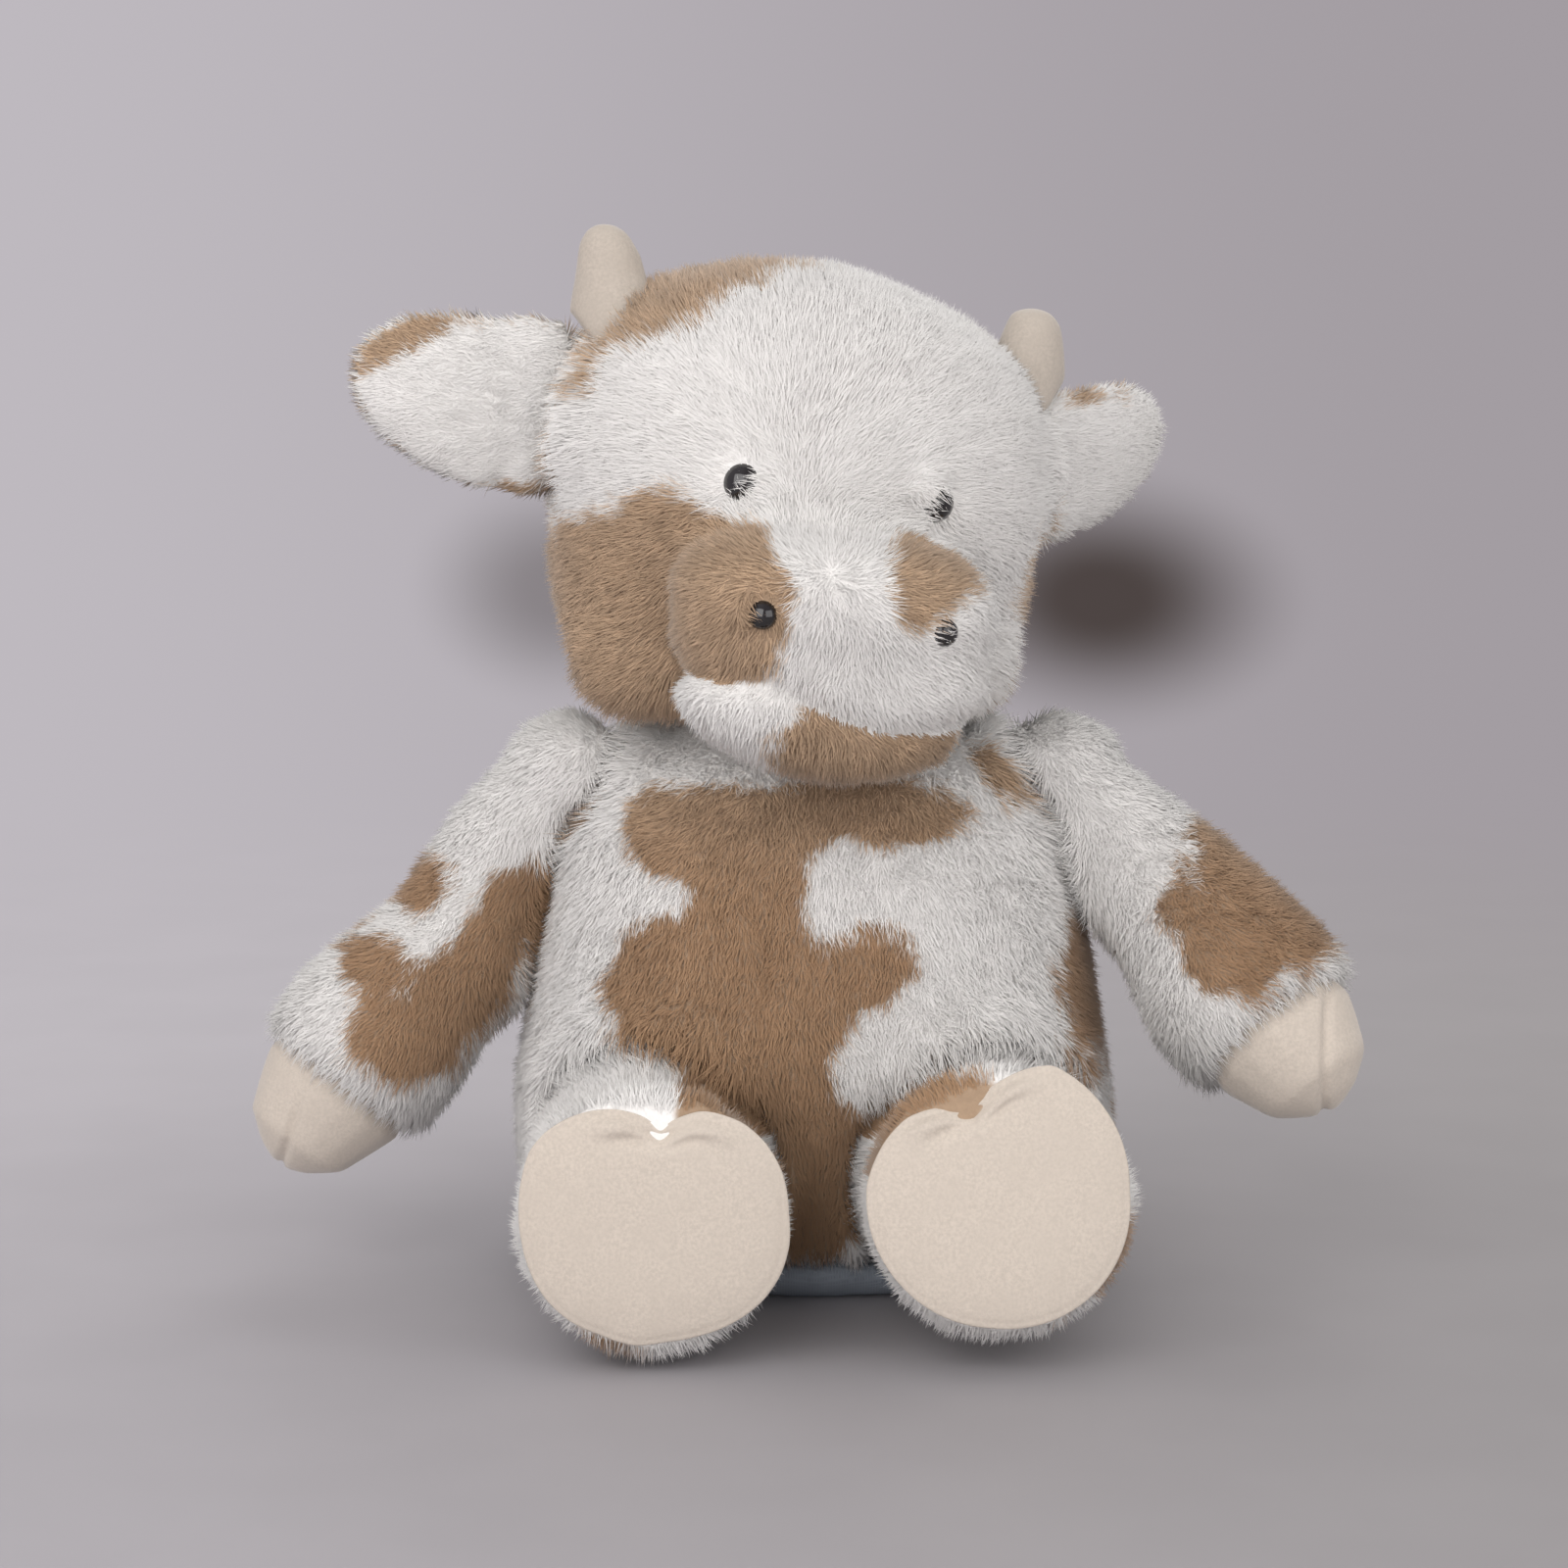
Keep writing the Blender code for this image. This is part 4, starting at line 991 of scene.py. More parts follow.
CROWN_FLAT = (42 * MM, -2 * MM, 280 * MM)
CROWN_START = -22 * MM
MOUTH_DEPTH = 4.5 * MM
LIP_RISE = 1.2 * MM
FLAT_DEPTH = 4.5 * MM
FULLER_PLACES = (
    ((-57 * MM, -33 * MM, 171 * MM), 19 * MM, 11.5 * MM),
    ((-40 * MM, -50 * MM, 163 * MM), 17 * MM, 8.5 * MM),
    ((52 * MM, -20 * MM, 170 * MM), 18 * MM, 4 * MM),
    ((10 * MM, -86 * MM, 154 * MM), 22 * MM, 2.5 * MM),
)
LID_RISES = {"eye_right": 2.8 * MM, "eye_left": 3.2 * MM, "nostril_right": 3.0 * MM, "nostril_left": 1.8 * MM}
# The side from which the pile falls over each eye and nostril
COVERED_SIDES = {
    "eye_right": (0.75, 0, -0.66),
    "eye_left": (-0.8, 0, 0.6),
    "nostril_right": (-1, 0, 0),
    "nostril_left": (-1, 0, 0.1),
}
MOUTH_LINE = ((684, 683), (738, 699), (787, 696), (825, 718), (860, 734), (909, 749), (958, 747), (992, 734))


def make_head(body_cloth):
    """The head's cloth with muzzle and chin, its pile, eyes and nostrils."""
    nodes = ["head_skin", "head_stuffing", "muzzle_skin", "muzzle_stuffing", "chin_skin", "chin_stuffing"]
    inner = [f"{part}_{side}{end}" for part in ("eye", "nostril") for side in SIDES for end in ("", "_washer")]
    neck = pivot("head_turn")

    def freedom(points):
        free = ramp(points[:, 2] - neck[2], -52 * MM, -34 * MM)
        for side in SIDES:
            free = np.minimum(free, ramp(away_from(points, pivot(f"ear_{side}_fold")), 16 * MM, 26 * MM))
            foot = horn_line(side)[2]
            free = np.minimum(free, 0.35 + 0.65 * ramp(away_from(points, foot), 10 * MM, 20 * MM))
        return free

    def crease(points):
        head, muzzle, chin = (outside(hull, points) for hull in (HEAD_HULL, MUZZLE_HULL, CHIN_HULL))
        total = np.zeros(len(points))
        for first, second, depth in ((head, muzzle, 4.0 * MM), (head, chin, 3.0 * MM), (muzzle, chin, -3.0 * MM)):
            total += depth * np.exp(-(first ** 2 + second ** 2) / (4.5 * MM) ** 2)
        far, above = away_from_line(seen_in_front(points), MOUTH_LINE)
        front = ramp(-points[:, 1], 55 * MM, 68 * MM)
        total += front * MOUTH_DEPTH * bell(far * PICTURE_STEP, 3.4 * MM)
        lip = bell(above * PICTURE_STEP - 7 * MM, 6 * MM) * ramp(-far * PICTURE_STEP, -16 * MM, -8 * MM)
        flat = bell(away_from(points, CROWN_FLAT), 24 * MM)
        for place, reach, rise in FULLER_PLACES:
            total -= rise * bell(away_from(points, place), reach)
        for name, side in COVERED_SIDES.items():
            place, _, radius = button_place(name)
            lid = place + np.array(side) * radius * 1.05
            total -= LID_RISES[name] * bell(away_from(points, lid), radius * 0.95)
        return total - front * LIP_RISE * lip + FLAT_DEPTH * flat

    cloth = cloth_form(
        "head_cloth", nodes + inner, HEAD_VOXEL, PILE_HEIGHT, rounds=4, cap=2 * MM, freedom=freedom, crease=crease
    )
    points, normals = surface(cloth)
    buttons = {f"eye_{side}": make_button(f"eye_{side}", "head", 2.6 * MM) for side in SIDES}
    buttons |= {f"nostril_{side}": make_button(f"nostril_{side}", "head", 2.2 * MM) for side in SIDES}
    pouch = on_pouch(points)
    mouth, above = away_from_line(seen_in_front(points), MOUTH_LINE)
    front = front_patch(points, normals, HEAD_FRONT_PATCHES, level=-0.55)
    muzzle, chin = (patch_in_front(points, blobs) for blobs in (MUZZLE_PATCHES, CHIN_PATCHES))
    top = np.minimum(patch_in_front(points, HEAD_TOP_PATCHES), (normals[:, 2] - 0.1) * 40 * MM)
    back = back_patch(points, normals, HEAD_BACK_PATCHES)
    patch = np.where(pouch, np.where(above > 0, muzzle, chin), np.maximum(np.maximum(front, top), back))
    nose = middle("muzzle_skin") + np.array((0, -0.02, 0.008))
    comb = laid(normals, unit(points - nose) + np.array((0, 0, -0.35)), 0.6)
    bare = ramp(room_ahead(points, normals, body_cloth), 1.5 * MM, 5 * MM)
    low = 1 - ramp(points[:, 2] - neck[2], -50 * MM, -25 * MM)
    nap = np.where(pouch, 0.85, 1.0 + 0.3 * low)
    for name, (top_place, _, radius) in buttons.items():
        away = away_from(points, top_place)
        over = ramp(unit(points - top_place) @ np.array(COVERED_SIDES[name]), -0.1, 0.5)
        bare = np.minimum(bare, ramp(away, radius * (1.0 - 0.35 * over), radius * (1.15 - 0.35 * over)))
        close = ramp(-away, -radius * 2.4, -radius * 1.1)
        inward = laid(normals, unit(top_place - points))
        comb = unit(comb + inward * (close * (2.4 * over - 1.6 * (1 - over)))[:, None])
        nap = nap * (1 + close * (0.05 * over - 0.4 * (1 - over)))
    nap = nap * np.where(pouch, 0.55 + 0.45 * ramp(mouth * PICTURE_STEP, 0, 5 * MM), 1)
    lean = np.zeros_like(points)
    for side in SIDES:
        nap = nap * (0.6 + 0.4 * ramp(away_from(points, horn_line(side)[2]), 9 * MM, 16 * MM))
        near = 1 - ramp(away_from(points, pivot(f"ear_{side}_fold")), 14 * MM, 30 * MM)
        nap = nap + 0.6 * near
        comb = combed_over(comb, normals, (SIDES[side], 0, -0.1), near, 1.5)
        lean = lean + np.outer(near, (-0.2 * SIDES[side], -0.7, 0.2))
    keep_fields(cloth, patch, comb, bare, nap, lean)
    for name, where in (
        ("muzzle_pile", on_pouch),
        ("face_pile", lambda m: ~on_pouch(m) & (m[:, 1] < CROWN_START)),
        ("crown_right_pile", lambda m: ~on_pouch(m) & (m[:, 1] >= CROWN_START) & (m[:, 0] < 0)),
        ("crown_left_pile", lambda m: ~on_pouch(m) & (m[:, 1] >= CROWN_START) & (m[:, 0] >= 0)),
    ):
        grown_pile(name, cloth, "head", "white_fur", where)
    backed(cloth, "head", "white_fur", 0.8, *nodes)
    for side in SIDES:
        for part in ("eye", "nostril"):
            washer = frame["nodes"][f"{part}_{side}_washer"]
            washer.data.materials.clear()
            washer.data.materials.append(PLASTIC)
    return cloth


HORN_SHIFTS = {"right": 0.0, "left": 2.5 * MM}
HORN_SPREAD = {"right": 0.20, "left": 0.16}
HORN_LEANS = {"right": -6 * MM, "left": -3 * MM}


def horn_line(side):
    """A horn's tip, the way it points and its foot on the head."""
    points = cad_points(f"horn_{side}")
    tip = points[np.argmax(points[:, 2])]
    below = tip[2] - points[:, 2]
    up = toward(points[(below > 4 * MM) & (below < 9 * MM)].mean(0), tip)
    return tip, up, tip - up * ((tip - points) @ up).max() * 0.8


def make_horns():
    """The suede horns, set into the head's cloth."""
    for side in SIDES:
        node = f"horn_{side}"
        up = horn_line(side)[1]
        horn = gathered(node + "_suede", (node,))
        softened(horn, 1.8 * MM, 5)
        drawn_in(horn, 0.2 * MM)
        puffed(horn, 0.8 * MM)
        points = points_of(horn.data)
        below = 1 - ramp(outside(HEAD_HULL, points), 1 * MM, 5 * MM)
        root = np.outer(below, -9 * MM * up + np.array((-3 * MM * SIDES[side], HORN_LEANS[side], 0)))
        wide = points - (horn_line(side)[0] + np.outer((points - horn_line(side)[0]) @ up, up))
        low = 1 - ramp(outside(HEAD_HULL, points), 2 * MM, 14 * MM)
        put_points(horn.data, points + root + wide * HORN_SPREAD[side] * low[:, None] + (HORN_SHIFTS[side], 0, 0))
        finer(horn, 1)
        dressed(horn, SUEDE, "head", (node,))


# Tan along the ears' edges in the front view, in picture points
EAR_RIM_PATCHES = {
    "right": ((404, 350, 46, 16, -28), (408, 470, 52, 10, 35), (532, 500, 22, 7, 5)),
    "left": ((1112, 405, 18, 6, 0),),
}
EAR_TIP_RISES = {"right": 7 * MM, "left": 3 * MM}


def make_ears(head_cloth):
    """Each ear's two panels, white in front and tan behind."""
    for side in SIDES:
        body = f"ear_{side}"
        nodes = (f"{body}_front", f"{body}_back")
        root = pivot(f"{body}_fold")
        front, back = (cad_points(node) for node in nodes)
        centre = (front.mean(0) + back.mean(0)) / 2
        facing = np.linalg.eigh(np.cov((np.concatenate([front, back]) - centre).T))[1][:, 0]
        facing = facing if facing[1] < 0 else -facing
        centre = (front[np.argmin(front @ facing)] @ facing - 0.15 * MM - centre @ facing) * facing + centre
        way = toward(root, centre)

        def freedom(points):
            return ramp((points - root) @ way, 4 * MM, 14 * MM)

        cloth = cloth_form(f"{body}_cloth", nodes, 2.2 * MM, 1.4 * MM, rounds=4, cap=0.8 * MM, freedom=freedom)
        points = points_of(cloth.data)
        run = ramp((points - root) @ way, 15 * MM, 60 * MM)
        put_points(cloth.data, points + np.outer(run * EAR_TIP_RISES[side], (0, 0, 1)))
        points, normals = surface(cloth)
        rise = run * EAR_TIP_RISES[side] * facing[2]
        off = (points - centre) @ facing - rise
        tan = np.maximum(-off - 1.2 * MM, patch_in_front(points, EAR_RIM_PATCHES[side], 5))
        comb = laid(normals, way)
        near = 1 - ramp(away_from_piece(points, head_cloth), 2 * MM, 8 * MM)
        comb = combed_over(comb, normals, (-SIDES[side], 0, 0.1), near, 1.6)
        bare = ramp(room_ahead(points, normals, head_cloth), 0.5 * MM, 2 * MM)
        keep_fields(cloth, tan, comb, bare, 0.75 + 0.8 * near, np.outer(near, (0.2 * SIDES[side], -0.6, 0.2)))
        grown_pile(f"{body}_front_pile", cloth, body, "white_fur", lambda m: (m - centre) @ facing > 0, Lift=0.7)
        grown_pile(f"{body}_back_pile", cloth, body, "tan_fur", lambda m: (m - centre) @ facing <= 0, Lift=0.7)
        backed(cloth, body, "white_fur", 0.4, *nodes)


def seam_plane(node, other):
    """The middle of the seam where one CAD node meets another, and the way that it faces, away from the other."""
    points, others = cad_points(node), cad_points(other)
    near = [place for place in points if away_from(others, place).min() < 4 * MM]
    near = np.array(near)
    centre = near.mean(0)
    axis = np.linalg.eigh(np.cov((near - centre).T))[1][:, 0]
    if (points.mean(0) - centre) @ axis < 0:
        axis = -axis
    return centre, axis


def cut_off(piece, place, direction):
    """Cut a form with a plane, drop what lies beyond it and close the cut."""
    bm = bmesh.new()
    bm.from_mesh(piece.data)
    geom = list(bm.verts) + list(bm.edges) + list(bm.faces)
    cut = bmesh.ops.bisect_plane(bm, geom=geom, plane_co=place, plane_no=direction, clear_outer=True)
    edges = [item for item in cut["geom_cut"] if isinstance(item, bmesh.types.BMEdge)]
    bmesh.ops.holes_fill(bm, edges=edges)
    bmesh.ops.triangulate(bm, faces=[face for face in bm.faces if len(face.verts) > 4])
    bm.to_mesh(piece.data)
    bm.free()


FULLER_ARMS = {
    "right": ((-92 * MM, -8 * MM, 86 * MM), 16 * MM, 5 * MM),
    "left": ((120 * MM, -5 * MM, 124 * MM), 24 * MM, 7 * MM),
}


def make_arms(body_cloth):
    """The arms' furry sleeves and suede hooves."""
    for side, sign in SIDES.items():
        body = f"arm_{side}"
        nodes = (f"{body}_skin", f"{body}_stuffing")
        shoulder = pivot(f"{body}_lift")
        wrist, way = seam_plane(f"{body}_hoof", nodes[0])

        def freedom(points):
            room = room_ahead(points, unit(points - shoulder), body_cloth)
            free = np.maximum(ramp(away_from(points, shoulder) - 22 * MM, 0, 8 * MM), ramp(room, 2 * MM, 9 * MM))
            free = free * (0.2 + 0.8 * ramp(away_from_piece(points, body_cloth), 3 * MM, 14 * MM))
            return free * (0.35 + 0.65 * ramp((wrist - points) @ way, 0, 12 * MM))

        cloth = cloth_form(
            f"{body}_cloth", nodes, LIMB_VOXEL, ARM_PILE_HEIGHT, rounds=4, cap=1.5 * MM, freedom=freedom
        )
        points = points_of(cloth.data)
        top = ramp(points[:, 2] - shoulder[2], 8 * MM, 20 * MM) * ramp(-away_from(points, shoulder), -34 * MM, -24 * MM)
        put_points(cloth.data, points - np.outer(top * 2.5 * MM, (0, 0, 1)))
        points, normals = surface(cloth)
        place, reach, rise = FULLER_ARMS[side]
        rise = np.minimum(rise, np.maximum(room_ahead(points, normals, body_cloth) - 2 * MM, 0))
        rise = rise * bell(away_from(points, place), reach)
        put_points(cloth.data, points + normals * rise[:, None])
        cut_off(cloth, wrist - way * 0.2 * MM, way)
        points, normals = surface(cloth)
        patch = front_patch(points, normals, ARM_FRONT_PATCHES[side], level=-0.35)
        comb = laid(normals, toward(shoulder, wrist) + way)
        room = room_ahead(points, normals, body_cloth)
        bare = np.where((points - wrist) @ way > -0.6 * MM, 0, ramp(room, 1 * MM, 3 * MM))
        near = 1 - ramp(away_from_piece(points, body_cloth), 3 * MM, 12 * MM)
        comb = combed_over(comb, normals, (-sign, 0, 0.1), near, 1.3)
        cuff = ramp((points - wrist) @ way, -14 * MM, 0)
        keep_fields(cloth, patch, comb, bare, 1 + 0.5 * cuff + 0.8 * near, np.outer(near, (0.5 * sign, -0.5, 0.3)))
        grown_pile(f"{body}_pile", cloth, body, "white_fur")
        backed(cloth, body, "white_fur", 0.75, *nodes)

        cap = gathered(f"{body}_hoof_suede", (f"{body}_hoof",))
        bm = bmesh.new()
        for place in points_of(cap.data):
            bm.verts.new(place)
        bmesh.ops.convex_hull(bm, input=bm.verts)
        bm.to_mesh(cap.data)
        bm.free()
        softened(cap, 1.8 * MM, 4)
        points = points_of(cap.data)
        tucked = 5 * MM * (1 - ramp((points - wrist) @ way, 0.5 * MM, 5 * MM))
        put_points(cap.data, points - np.outer(tucked, way))
        puffed(cap, 0.8 * MM)
        finer(cap, 1)
        cleft(cap, side)
        dressed(cap, SUEDE, body, (f"{body}_hoof",))


CLEFT_LINES = {
    "right": ((306, 1120), (284, 1195)),
    "left": ((1356, 990), (1352, 1115)),
}
CLEFT_WIDTH = 1.3 * MM
CLEFT_DEPTH = 1.3 * MM


def cleft(cap, side):
    """Press the cleft seam into a hoof, along its line in the front view."""
    points, normals = surface(cap)
    seen = seen_in_front(points)
    start, end = (np.array(place, float) for place in CLEFT_LINES[side])
    line = (end - start) / np.linalg.norm(end - start)
    run = (seen - start) @ line
    off = np.abs((seen - start) @ np.array((-line[1], line[0]))) * PICTURE_STEP
    depth = CLEFT_DEPTH * ramp(run, -12, 30) * bell(off, CLEFT_WIDTH)
    put_points(cap.data, points - normals * depth[:, None])


# Sole outlines: degrees from the top towards the viewer's right, and the distance from the middle in mm
SOLE_OUTLINES = {
    "right": (
        (-172, 31.4), (-154, 31.2), (-140, 32.4), (-123, 33.4), (-108, 33.8), (-95, 34.2), (-81, 35.2), (-68, 36.6),
        (-56, 38.2), (-47, 38.0), (-36, 36.8), (-26, 35.2), (-16, 33.2), (-6, 30.6), (6, 27.2), (16, 31.2), (23, 34.0),
        (29, 35.2), (41, 37.2), (53, 37.9), (66, 37.8), (84, 36.6), (97, 36.8), (110, 36.4), (124, 35.2), (138, 33.4),
        (157, 31.2), (173, 30.4),
    ),
    "left": (
        (-175, 33.0), (-154, 33.6), (-132, 34.2), (-106, 35.2), (-82, 35.8), (-62, 34.6), (-48, 33.4), (-36, 30.6),
        (-27, 28.2), (-18, 27.2), (-10, 28.8), (1, 32.2), (10, 35.4), (21, 38.6), (38, 37.6), (56, 36.3), (85, 34.0),
        (110, 34.2), (132, 34.2), (155, 33.8),
    ),
}
SOLE_SIDES = 144
# Rows of the sole from its middle out and round the edge: the share of the outline, and the height in mm
SOLE_FACE = (0, 0.12, 0.24, 0.36, 0.48, 0.56, 0.62, 0.67, 0.71, 0.75, 0.79, 0.83, 0.87, 0.90)
SOLE_EDGE = ((0.93, -0.05), (0.95, -0.25), (0.97, -0.15), (0.99, -0.2), (1.0, -0.5))
SOLE_BACK = ((0.995, -1.0), (0.96, -1.2), (0.90, -1.3), (0.5, -1.4), (0.0, -1.4))
SOLE_ROWS = tuple((share, 0.0) for share in SOLE_FACE) + SOLE_EDGE + SOLE_BACK
SOLE_CROWN = 3.4 * MM
SOLE_SINK = 3.6 * MM
# Where the pile is bare round the soles' notches
NOTCH_TURNS = {"right": math.radians(6), "left": math.radians(-18)}


def outline_radius(outline, angles):
    """The outline's radius at each angle, smooth all round."""
    spots = np.radians([row[0] for row in outline])
    radii = np.array([row[1] for row in outline]) * MM
    around = np.concatenate([spots - math.tau, spots, spots + math.tau])
    fine = np.linspace(-math.tau, math.tau, 2881)
    level = np.interp(fine, around, np.tile(radii, 3))
    width = 21
    level = np.convolve(level, np.hanning(width + 2)[1:-1] / np.hanning(width + 2)[1:-1].sum(), mode="same")
    return np.interp(np.mod(angles + math.pi, math.tau) - math.pi, fine, level)


def gathers(off, share):
    """The puffs and pleats that the notch's gathering stitch makes, by the turn from the notch and the share out."""
    puffs = pleats = 0.0
    for turn, out, size in ((-0.42, 0.86, 1.0), (0.40, 0.85, 1.0), (0.05, 0.74, 0.5)):
        puffs += size * math.exp(-((off - turn) / 0.20) ** 2 - ((share - out) / 0.09) ** 2)
    for turn, out, lean in ((-0.30, 0.77, -0.8), (0.30, 0.76, 0.8), (0.0, 0.88, 0.0)):
        across = (share - out) - lean * 0.12 * (abs(off) - abs(turn))
        pleats += math.exp(-((off - turn) / 0.24) ** 2 - (across / 0.036) ** 2)
    return (2.0 * puffs - 1.7 * pleats) * MM


def make_sole(side):
    """A suede sole: a crowned two-lobed disc with a turned edge, gathered at its notch."""
    body, node = f"leg_{side}", f"leg_{side}_sole"
    points = cad_points(node)
    centre = points.mean(0)
    axis = np.linalg.eigh(np.cov((points - centre).T))[1][:, 0]
    if axis[1] > 0:
        axis = -axis
    front = ((points - centre) @ axis).max()
    back = ((points - centre) @ axis).min()
    right = unit(np.cross((0, 0, 1.0), axis)[None, :])[0]
    if right[0] < 0:
        right = -right
    up = np.cross(axis, right)
    if up[2] < 0:
        up = -up
    off = middle(node) - centre
    centre = centre + right * (off @ right) + up * (off @ up)
    outline = SOLE_OUTLINES[side]
    angles = np.arange(SOLE_SIDES) * math.tau / SOLE_SIDES
    radii = outline_radius(outline, angles)
    notch = math.radians(min(outline[4:-4], key=lambda row: row[1])[0])
    bm = bmesh.new()
    rows = []
    for share, drop in SOLE_ROWS:
        row = []
        for angle, radius in zip(angles, radii):
            off = math.remainder(angle - notch, math.tau)
            pull = share ** 3 * math.exp(-(off / math.radians(34)) ** 2)
            folds = gathers(off, share) if drop == 0.0 else 0.0
            crown = SOLE_CROWN * (1 - share ** 3.2) - 1.3 * MM * pull
            height = front - SOLE_SINK + crown + drop * MM + folds
            if drop < -0.9:
                height = max(front - SOLE_SINK + drop * MM, back)
            place = centre + (right * math.sin(angle) + up * math.cos(angle)) * radius * share + axis * height
            row.append(place)
            if share == 0:
                break
        rows.append([bm.verts.new(place) for place in row])
    pad = skinned(f"{node}_suede", bm, rows, SOLE_SIDES)
    finer(pad)
    dressed(pad, SUEDE, body, (node,))
    return centre, axis, right, up


def make_legs(body_cloth):
    """The legs' furry feet and suede soles."""
    for side in SIDES:
        body = f"leg_{side}"
        nodes = (f"{body}_skin", f"{body}_stuffing")
        hip = pivot(f"{body}_splay")
        sole, way, right, up = make_sole(side)

        def freedom(points):
            room = room_ahead(points, unit(points - hip), body_cloth)
            return np.maximum(ramp(away_from(points, hip) - 38 * MM, 0, 8 * MM) * 0.75, ramp(room, 2 * MM, 9 * MM))

        def crease(points):
            behind = ramp((sole - points) @ way, 6 * MM, 20 * MM)
            return 4.5 * MM * behind * ramp(points[:, 2], 48 * MM, 72 * MM) * freedom(points)

        cloth = cloth_form(
            f"{body}_cloth",
            (*nodes, f"{body}_sole"),
            LIMB_VOXEL,
            LEG_PILE_HEIGHT,
            rounds=4,
            cap=1.5 * MM,
            freedom=freedom,
            crease=crease,
        )
        points, normals = surface(cloth)
        lap = np.minimum(patch_in_front(points, BODY_FRONT_PATCHES), (points[:, 2] - 50 * MM) * 2)
        patch = np.maximum(patch_in_front(points, LEG_PATCHES[side]), lap)
        off = points - sole
        ahead = off @ way
        flat = off - np.outer(ahead, way)
        comb = laid(normals, unit(flat) * 0.45 - way * 0.9)
        near = 1 - ramp(away_from_piece(points, body_cloth), 3 * MM, 12 * MM)
        comb = combed_over(comb, normals, (0, 1.0, 0.4), near, 1.3)
        bare = ramp(room_ahead(points, normals, body_cloth), 1 * MM, 3 * MM)
        turn = np.arctan2(flat @ right, flat @ up)
        edge = outline_radius(SOLE_OUTLINES[side], turn)
        edge = edge + 3 * MM * bell(turn - NOTCH_TURNS[side], 0.22)
        under = (ahead > -8 * MM) & (np.linalg.norm(flat, axis=1) < edge - 0.3 * MM)
        keep_fields(cloth, patch, comb, np.where(under, 0, bare), 0.9 + 0.6 * near, np.outer(near, (0, -0.6, 0.3)))
        grown_pile(f"{body}_pile", cloth, body, "white_fur")
        backed(cloth, body, "white_fur", 0.75, *nodes)


def make_tail():
    """The tail and its tuft."""
    root = pivot("tail_swing")
    end = middle("tail_tuft")

    def freedom(points):
        return ramp(away_from(points, root) - 10 * MM, 0, 4 * MM)

    tail = cloth_form("tail_cloth", ("tail_skin",), 2 * MM, 1.6 * MM, rounds=3, cap=0.6 * MM, freedom=freedom)
    points, normals = surface(tail)
    comb = laid(normals, toward(root, end))
    bare = ramp(outside(BODY_HULL, points), -2 * MM, 0)
    nap = 0.7 + 0.5 * ramp(-away_from(points, end), -30 * MM, -14 * MM)
    keep_fields(tail, np.full(len(points), -1.0), comb, bare, nap)
    grown_pile("tail_pile", tail, "tail", "white_fur")
    backed(tail, "tail", "white_fur", 0.6, "tail_skin")

    tuft = cloth_form("tail_tuft_cloth", ("tail_tuft",), 2 * MM, 3.5 * MM, rounds=3, cap=0.6 * MM)
    points, normals = surface(tuft)
    away = toward((root[0], root[1], end[2]), end)
    keep_fields(tuft, np.full(len(points), 1.0), laid(normals, away), 1.0, 1.15)
    grown_pile("tail_tuft_pile", tuft, "tail", "tan_fur", Lift=0.5)
    backed(tuft, "tail", "tan_fur", 0.6, "tail_tuft")


def shaded(tree, place, tone, spots):
    """A tone with a painted soft shadow at each spot: (middle, reach, how much)."""
    for spot, reach, dip in spots:
        off = vector_math(tree, "DIVIDE", vector_math(tree, "SUBTRACT", place, spot), reach)
        far = length_of(tree, off)
        tone = mixed(tree, ranged(tree, far, 1.0, 0.15, 0.0, dip), tone, SHADE_BROWN)
    return tone


def backdrop_tone(tree, way):
    """The backdrop's tone in a direction, with painted shade a little darker towards the cow's left, and the toy's
    painted soft shadow.
    """
    across = parts_of(tree, way)[0]
    tone = mixed(tree, ranged(tree, across, -0.24, 0.2), BACK_LEFT, BACK_RIGHT)
    return shaded(tree, way, tone, BACK_SHADE)


def looked_at(tree):
    """One where the camera or a mirror image looks, and zero for the light that falls on things."""
    path = put(tree, "ShaderNodeLightPath").outputs
    seen = number_math(tree, "MAXIMUM", path["Is Camera Ray"], path["Is Glossy Ray"])
    return number_math(tree, "MAXIMUM", seen, path["Is Transmission Ray"])


FLOOR_HALF = 19.0
ROOM_LIGHT = 0.68
LAMP_AIM = Vector((0, 0, 0.14))
# Each lamp's place, power in watts, size and colour
LAMPS = {
    "key lamp": ((-0.75, -1.40, 0.78), 17.0, 1.5, (1.0, 0.985, 0.97)),
    "fill lamp": ((1.1, -1.25, 0.4), 12.5, 1.6, (1.0, 0.99, 0.98)),
    "back lamp": ((0.3, 1.3, 1.4), 5.0, 1.2, (1.0, 1.0, 1.0)),
}


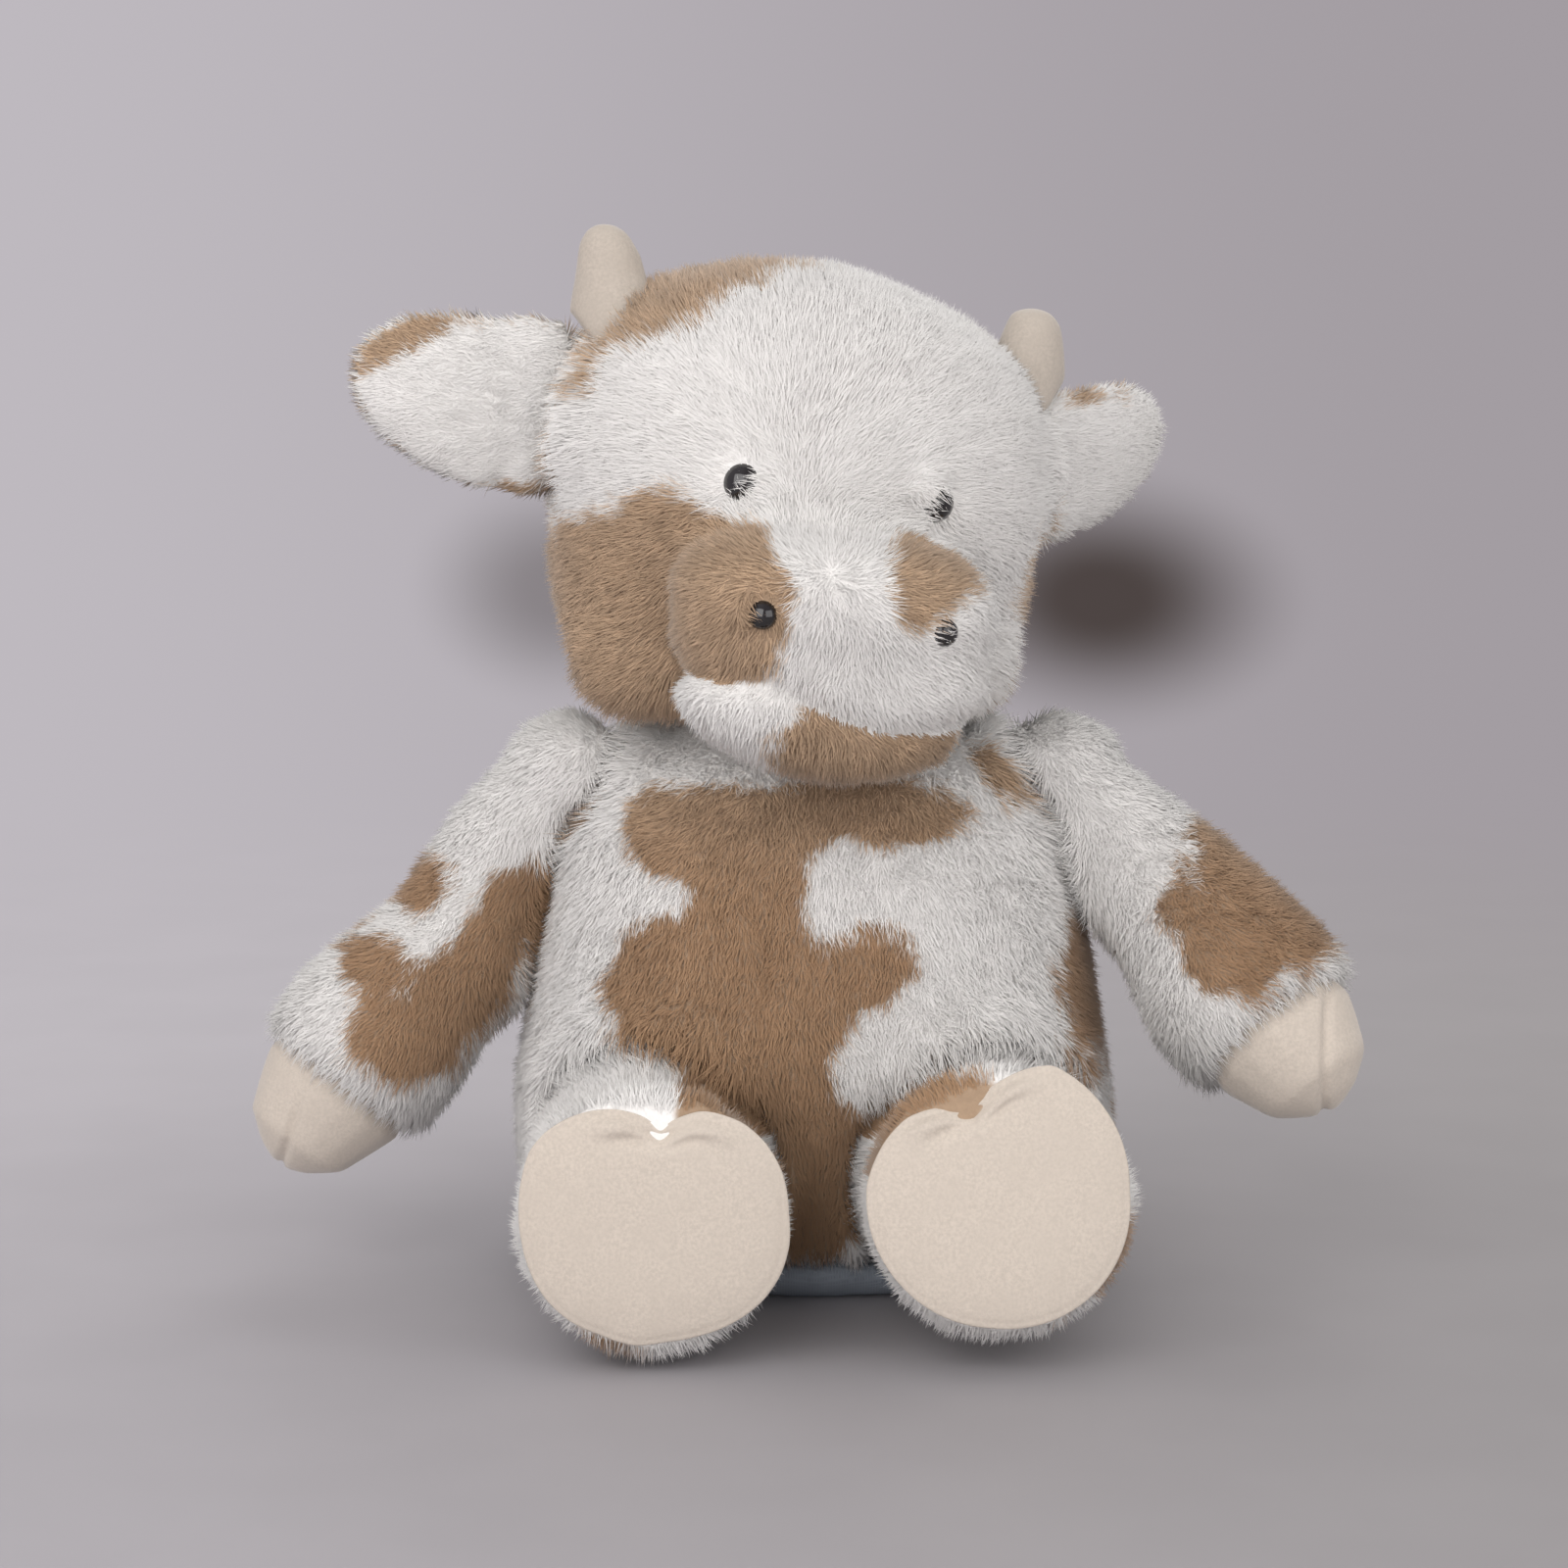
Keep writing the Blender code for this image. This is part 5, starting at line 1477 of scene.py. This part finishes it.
def make_stage():
    """The pale floor, the backdrop's tone, the lamps and the camera."""
    bm = bmesh.new()
    bmesh.ops.create_grid(bm, x_segments=8, y_segments=8, size=FLOOR_HALF)
    floor = add_mesh("floor", bm)
    material, tree, shader = new_finish("pale floor")
    place = own_place(tree)
    away = length_of(tree, place)
    grain = ranged(tree, noise_at(tree, 60 * MM), 0.3, 0.7, 0.97, 1.0)
    spot = parts_of(tree, place)
    # Painted light and shade: the floor lighter towards -X and further back
    near = mixed(tree, ranged(tree, spot[0], -0.35, 0.35), FLOOR_LEFT, FLOOR_RIGHT)
    level = number_math(tree, "MULTIPLY", grain, ranged(tree, spot[1], -0.18, 0.3, 1.0, 1.27))
    tree.links.new(vector_math(tree, "SCALE", near, level), shader.inputs["Base Color"])
    feed(tree, shader, {"Roughness": 0.6, "Specular IOR Level": 0.2})
    off = vector_math(tree, "NORMALIZE", vector_math(tree, "ADD", place, (0, CAMERA_DISTANCE, -0.3)))
    far = put(tree, "ShaderNodeEmission", {"Color": backdrop_tone(tree, off), "Strength": 1.0}).outputs[0]
    share = number_math(tree, "MULTIPLY", looked_at(tree), ranged(tree, away, 0.25, 1.1))
    both = put(tree, "ShaderNodeMixShader", {0: share, 1: shader.outputs[0], 2: far}).outputs[0]
    tree.links.new(both, tree.nodes["Material Output"].inputs["Surface"])
    floor.data.materials.append(material)

    scene = bpy.context.scene
    world = bpy.data.worlds.new("soft room")
    scene.world = world
    world.use_nodes = True
    tree = world.node_tree
    tree.nodes.clear()
    room = put(tree, "ShaderNodeBackground", {"Color": (1.0, 0.985, 0.975, 1.0), "Strength": ROOM_LIGHT}).outputs[0]
    way = put(tree, "ShaderNodeTexCoord").outputs["Generated"]
    back = put(tree, "ShaderNodeBackground", {"Color": backdrop_tone(tree, way), "Strength": 1.0}).outputs[0]
    both = put(tree, "ShaderNodeMixShader", {0: looked_at(tree), 1: room, 2: back}).outputs[0]
    put(tree, "ShaderNodeOutputWorld", {"Surface": both})

    for name, (place, power, size, colour) in LAMPS.items():
        light = bpy.data.lights.new(name, "AREA")
        light.energy = power
        light.size = size
        light.color = colour
        lamp = bpy.data.objects.new(name, light)
        lamp.location = place
        lamp.rotation_euler = (LAMP_AIM - Vector(place)).to_track_quat("-Z", "Y").to_euler()
        scene.collection.objects.link(lamp)

    camera = bpy.data.cameras.new("front camera")
    camera.lens = LENS
    camera.sensor_width = SENSOR
    camera.clip_end = 20
    held = bpy.data.objects.new("front camera", camera)
    back = Vector((0, -math.cos(CAMERA_RISE), math.sin(CAMERA_RISE)))
    held.location = AIM + back * CAMERA_DISTANCE
    held.rotation_euler = (-back).to_track_quat("-Z", "Y").to_euler()
    scene.collection.objects.link(held)
    scene.camera = held
    scene.view_settings.view_transform = "Standard"


body_cloth = make_body()
head_cloth = make_head(body_cloth)
make_horns()
make_ears(head_cloth)
make_arms(body_cloth)
make_legs(body_cloth)
make_tail()
make_stage()
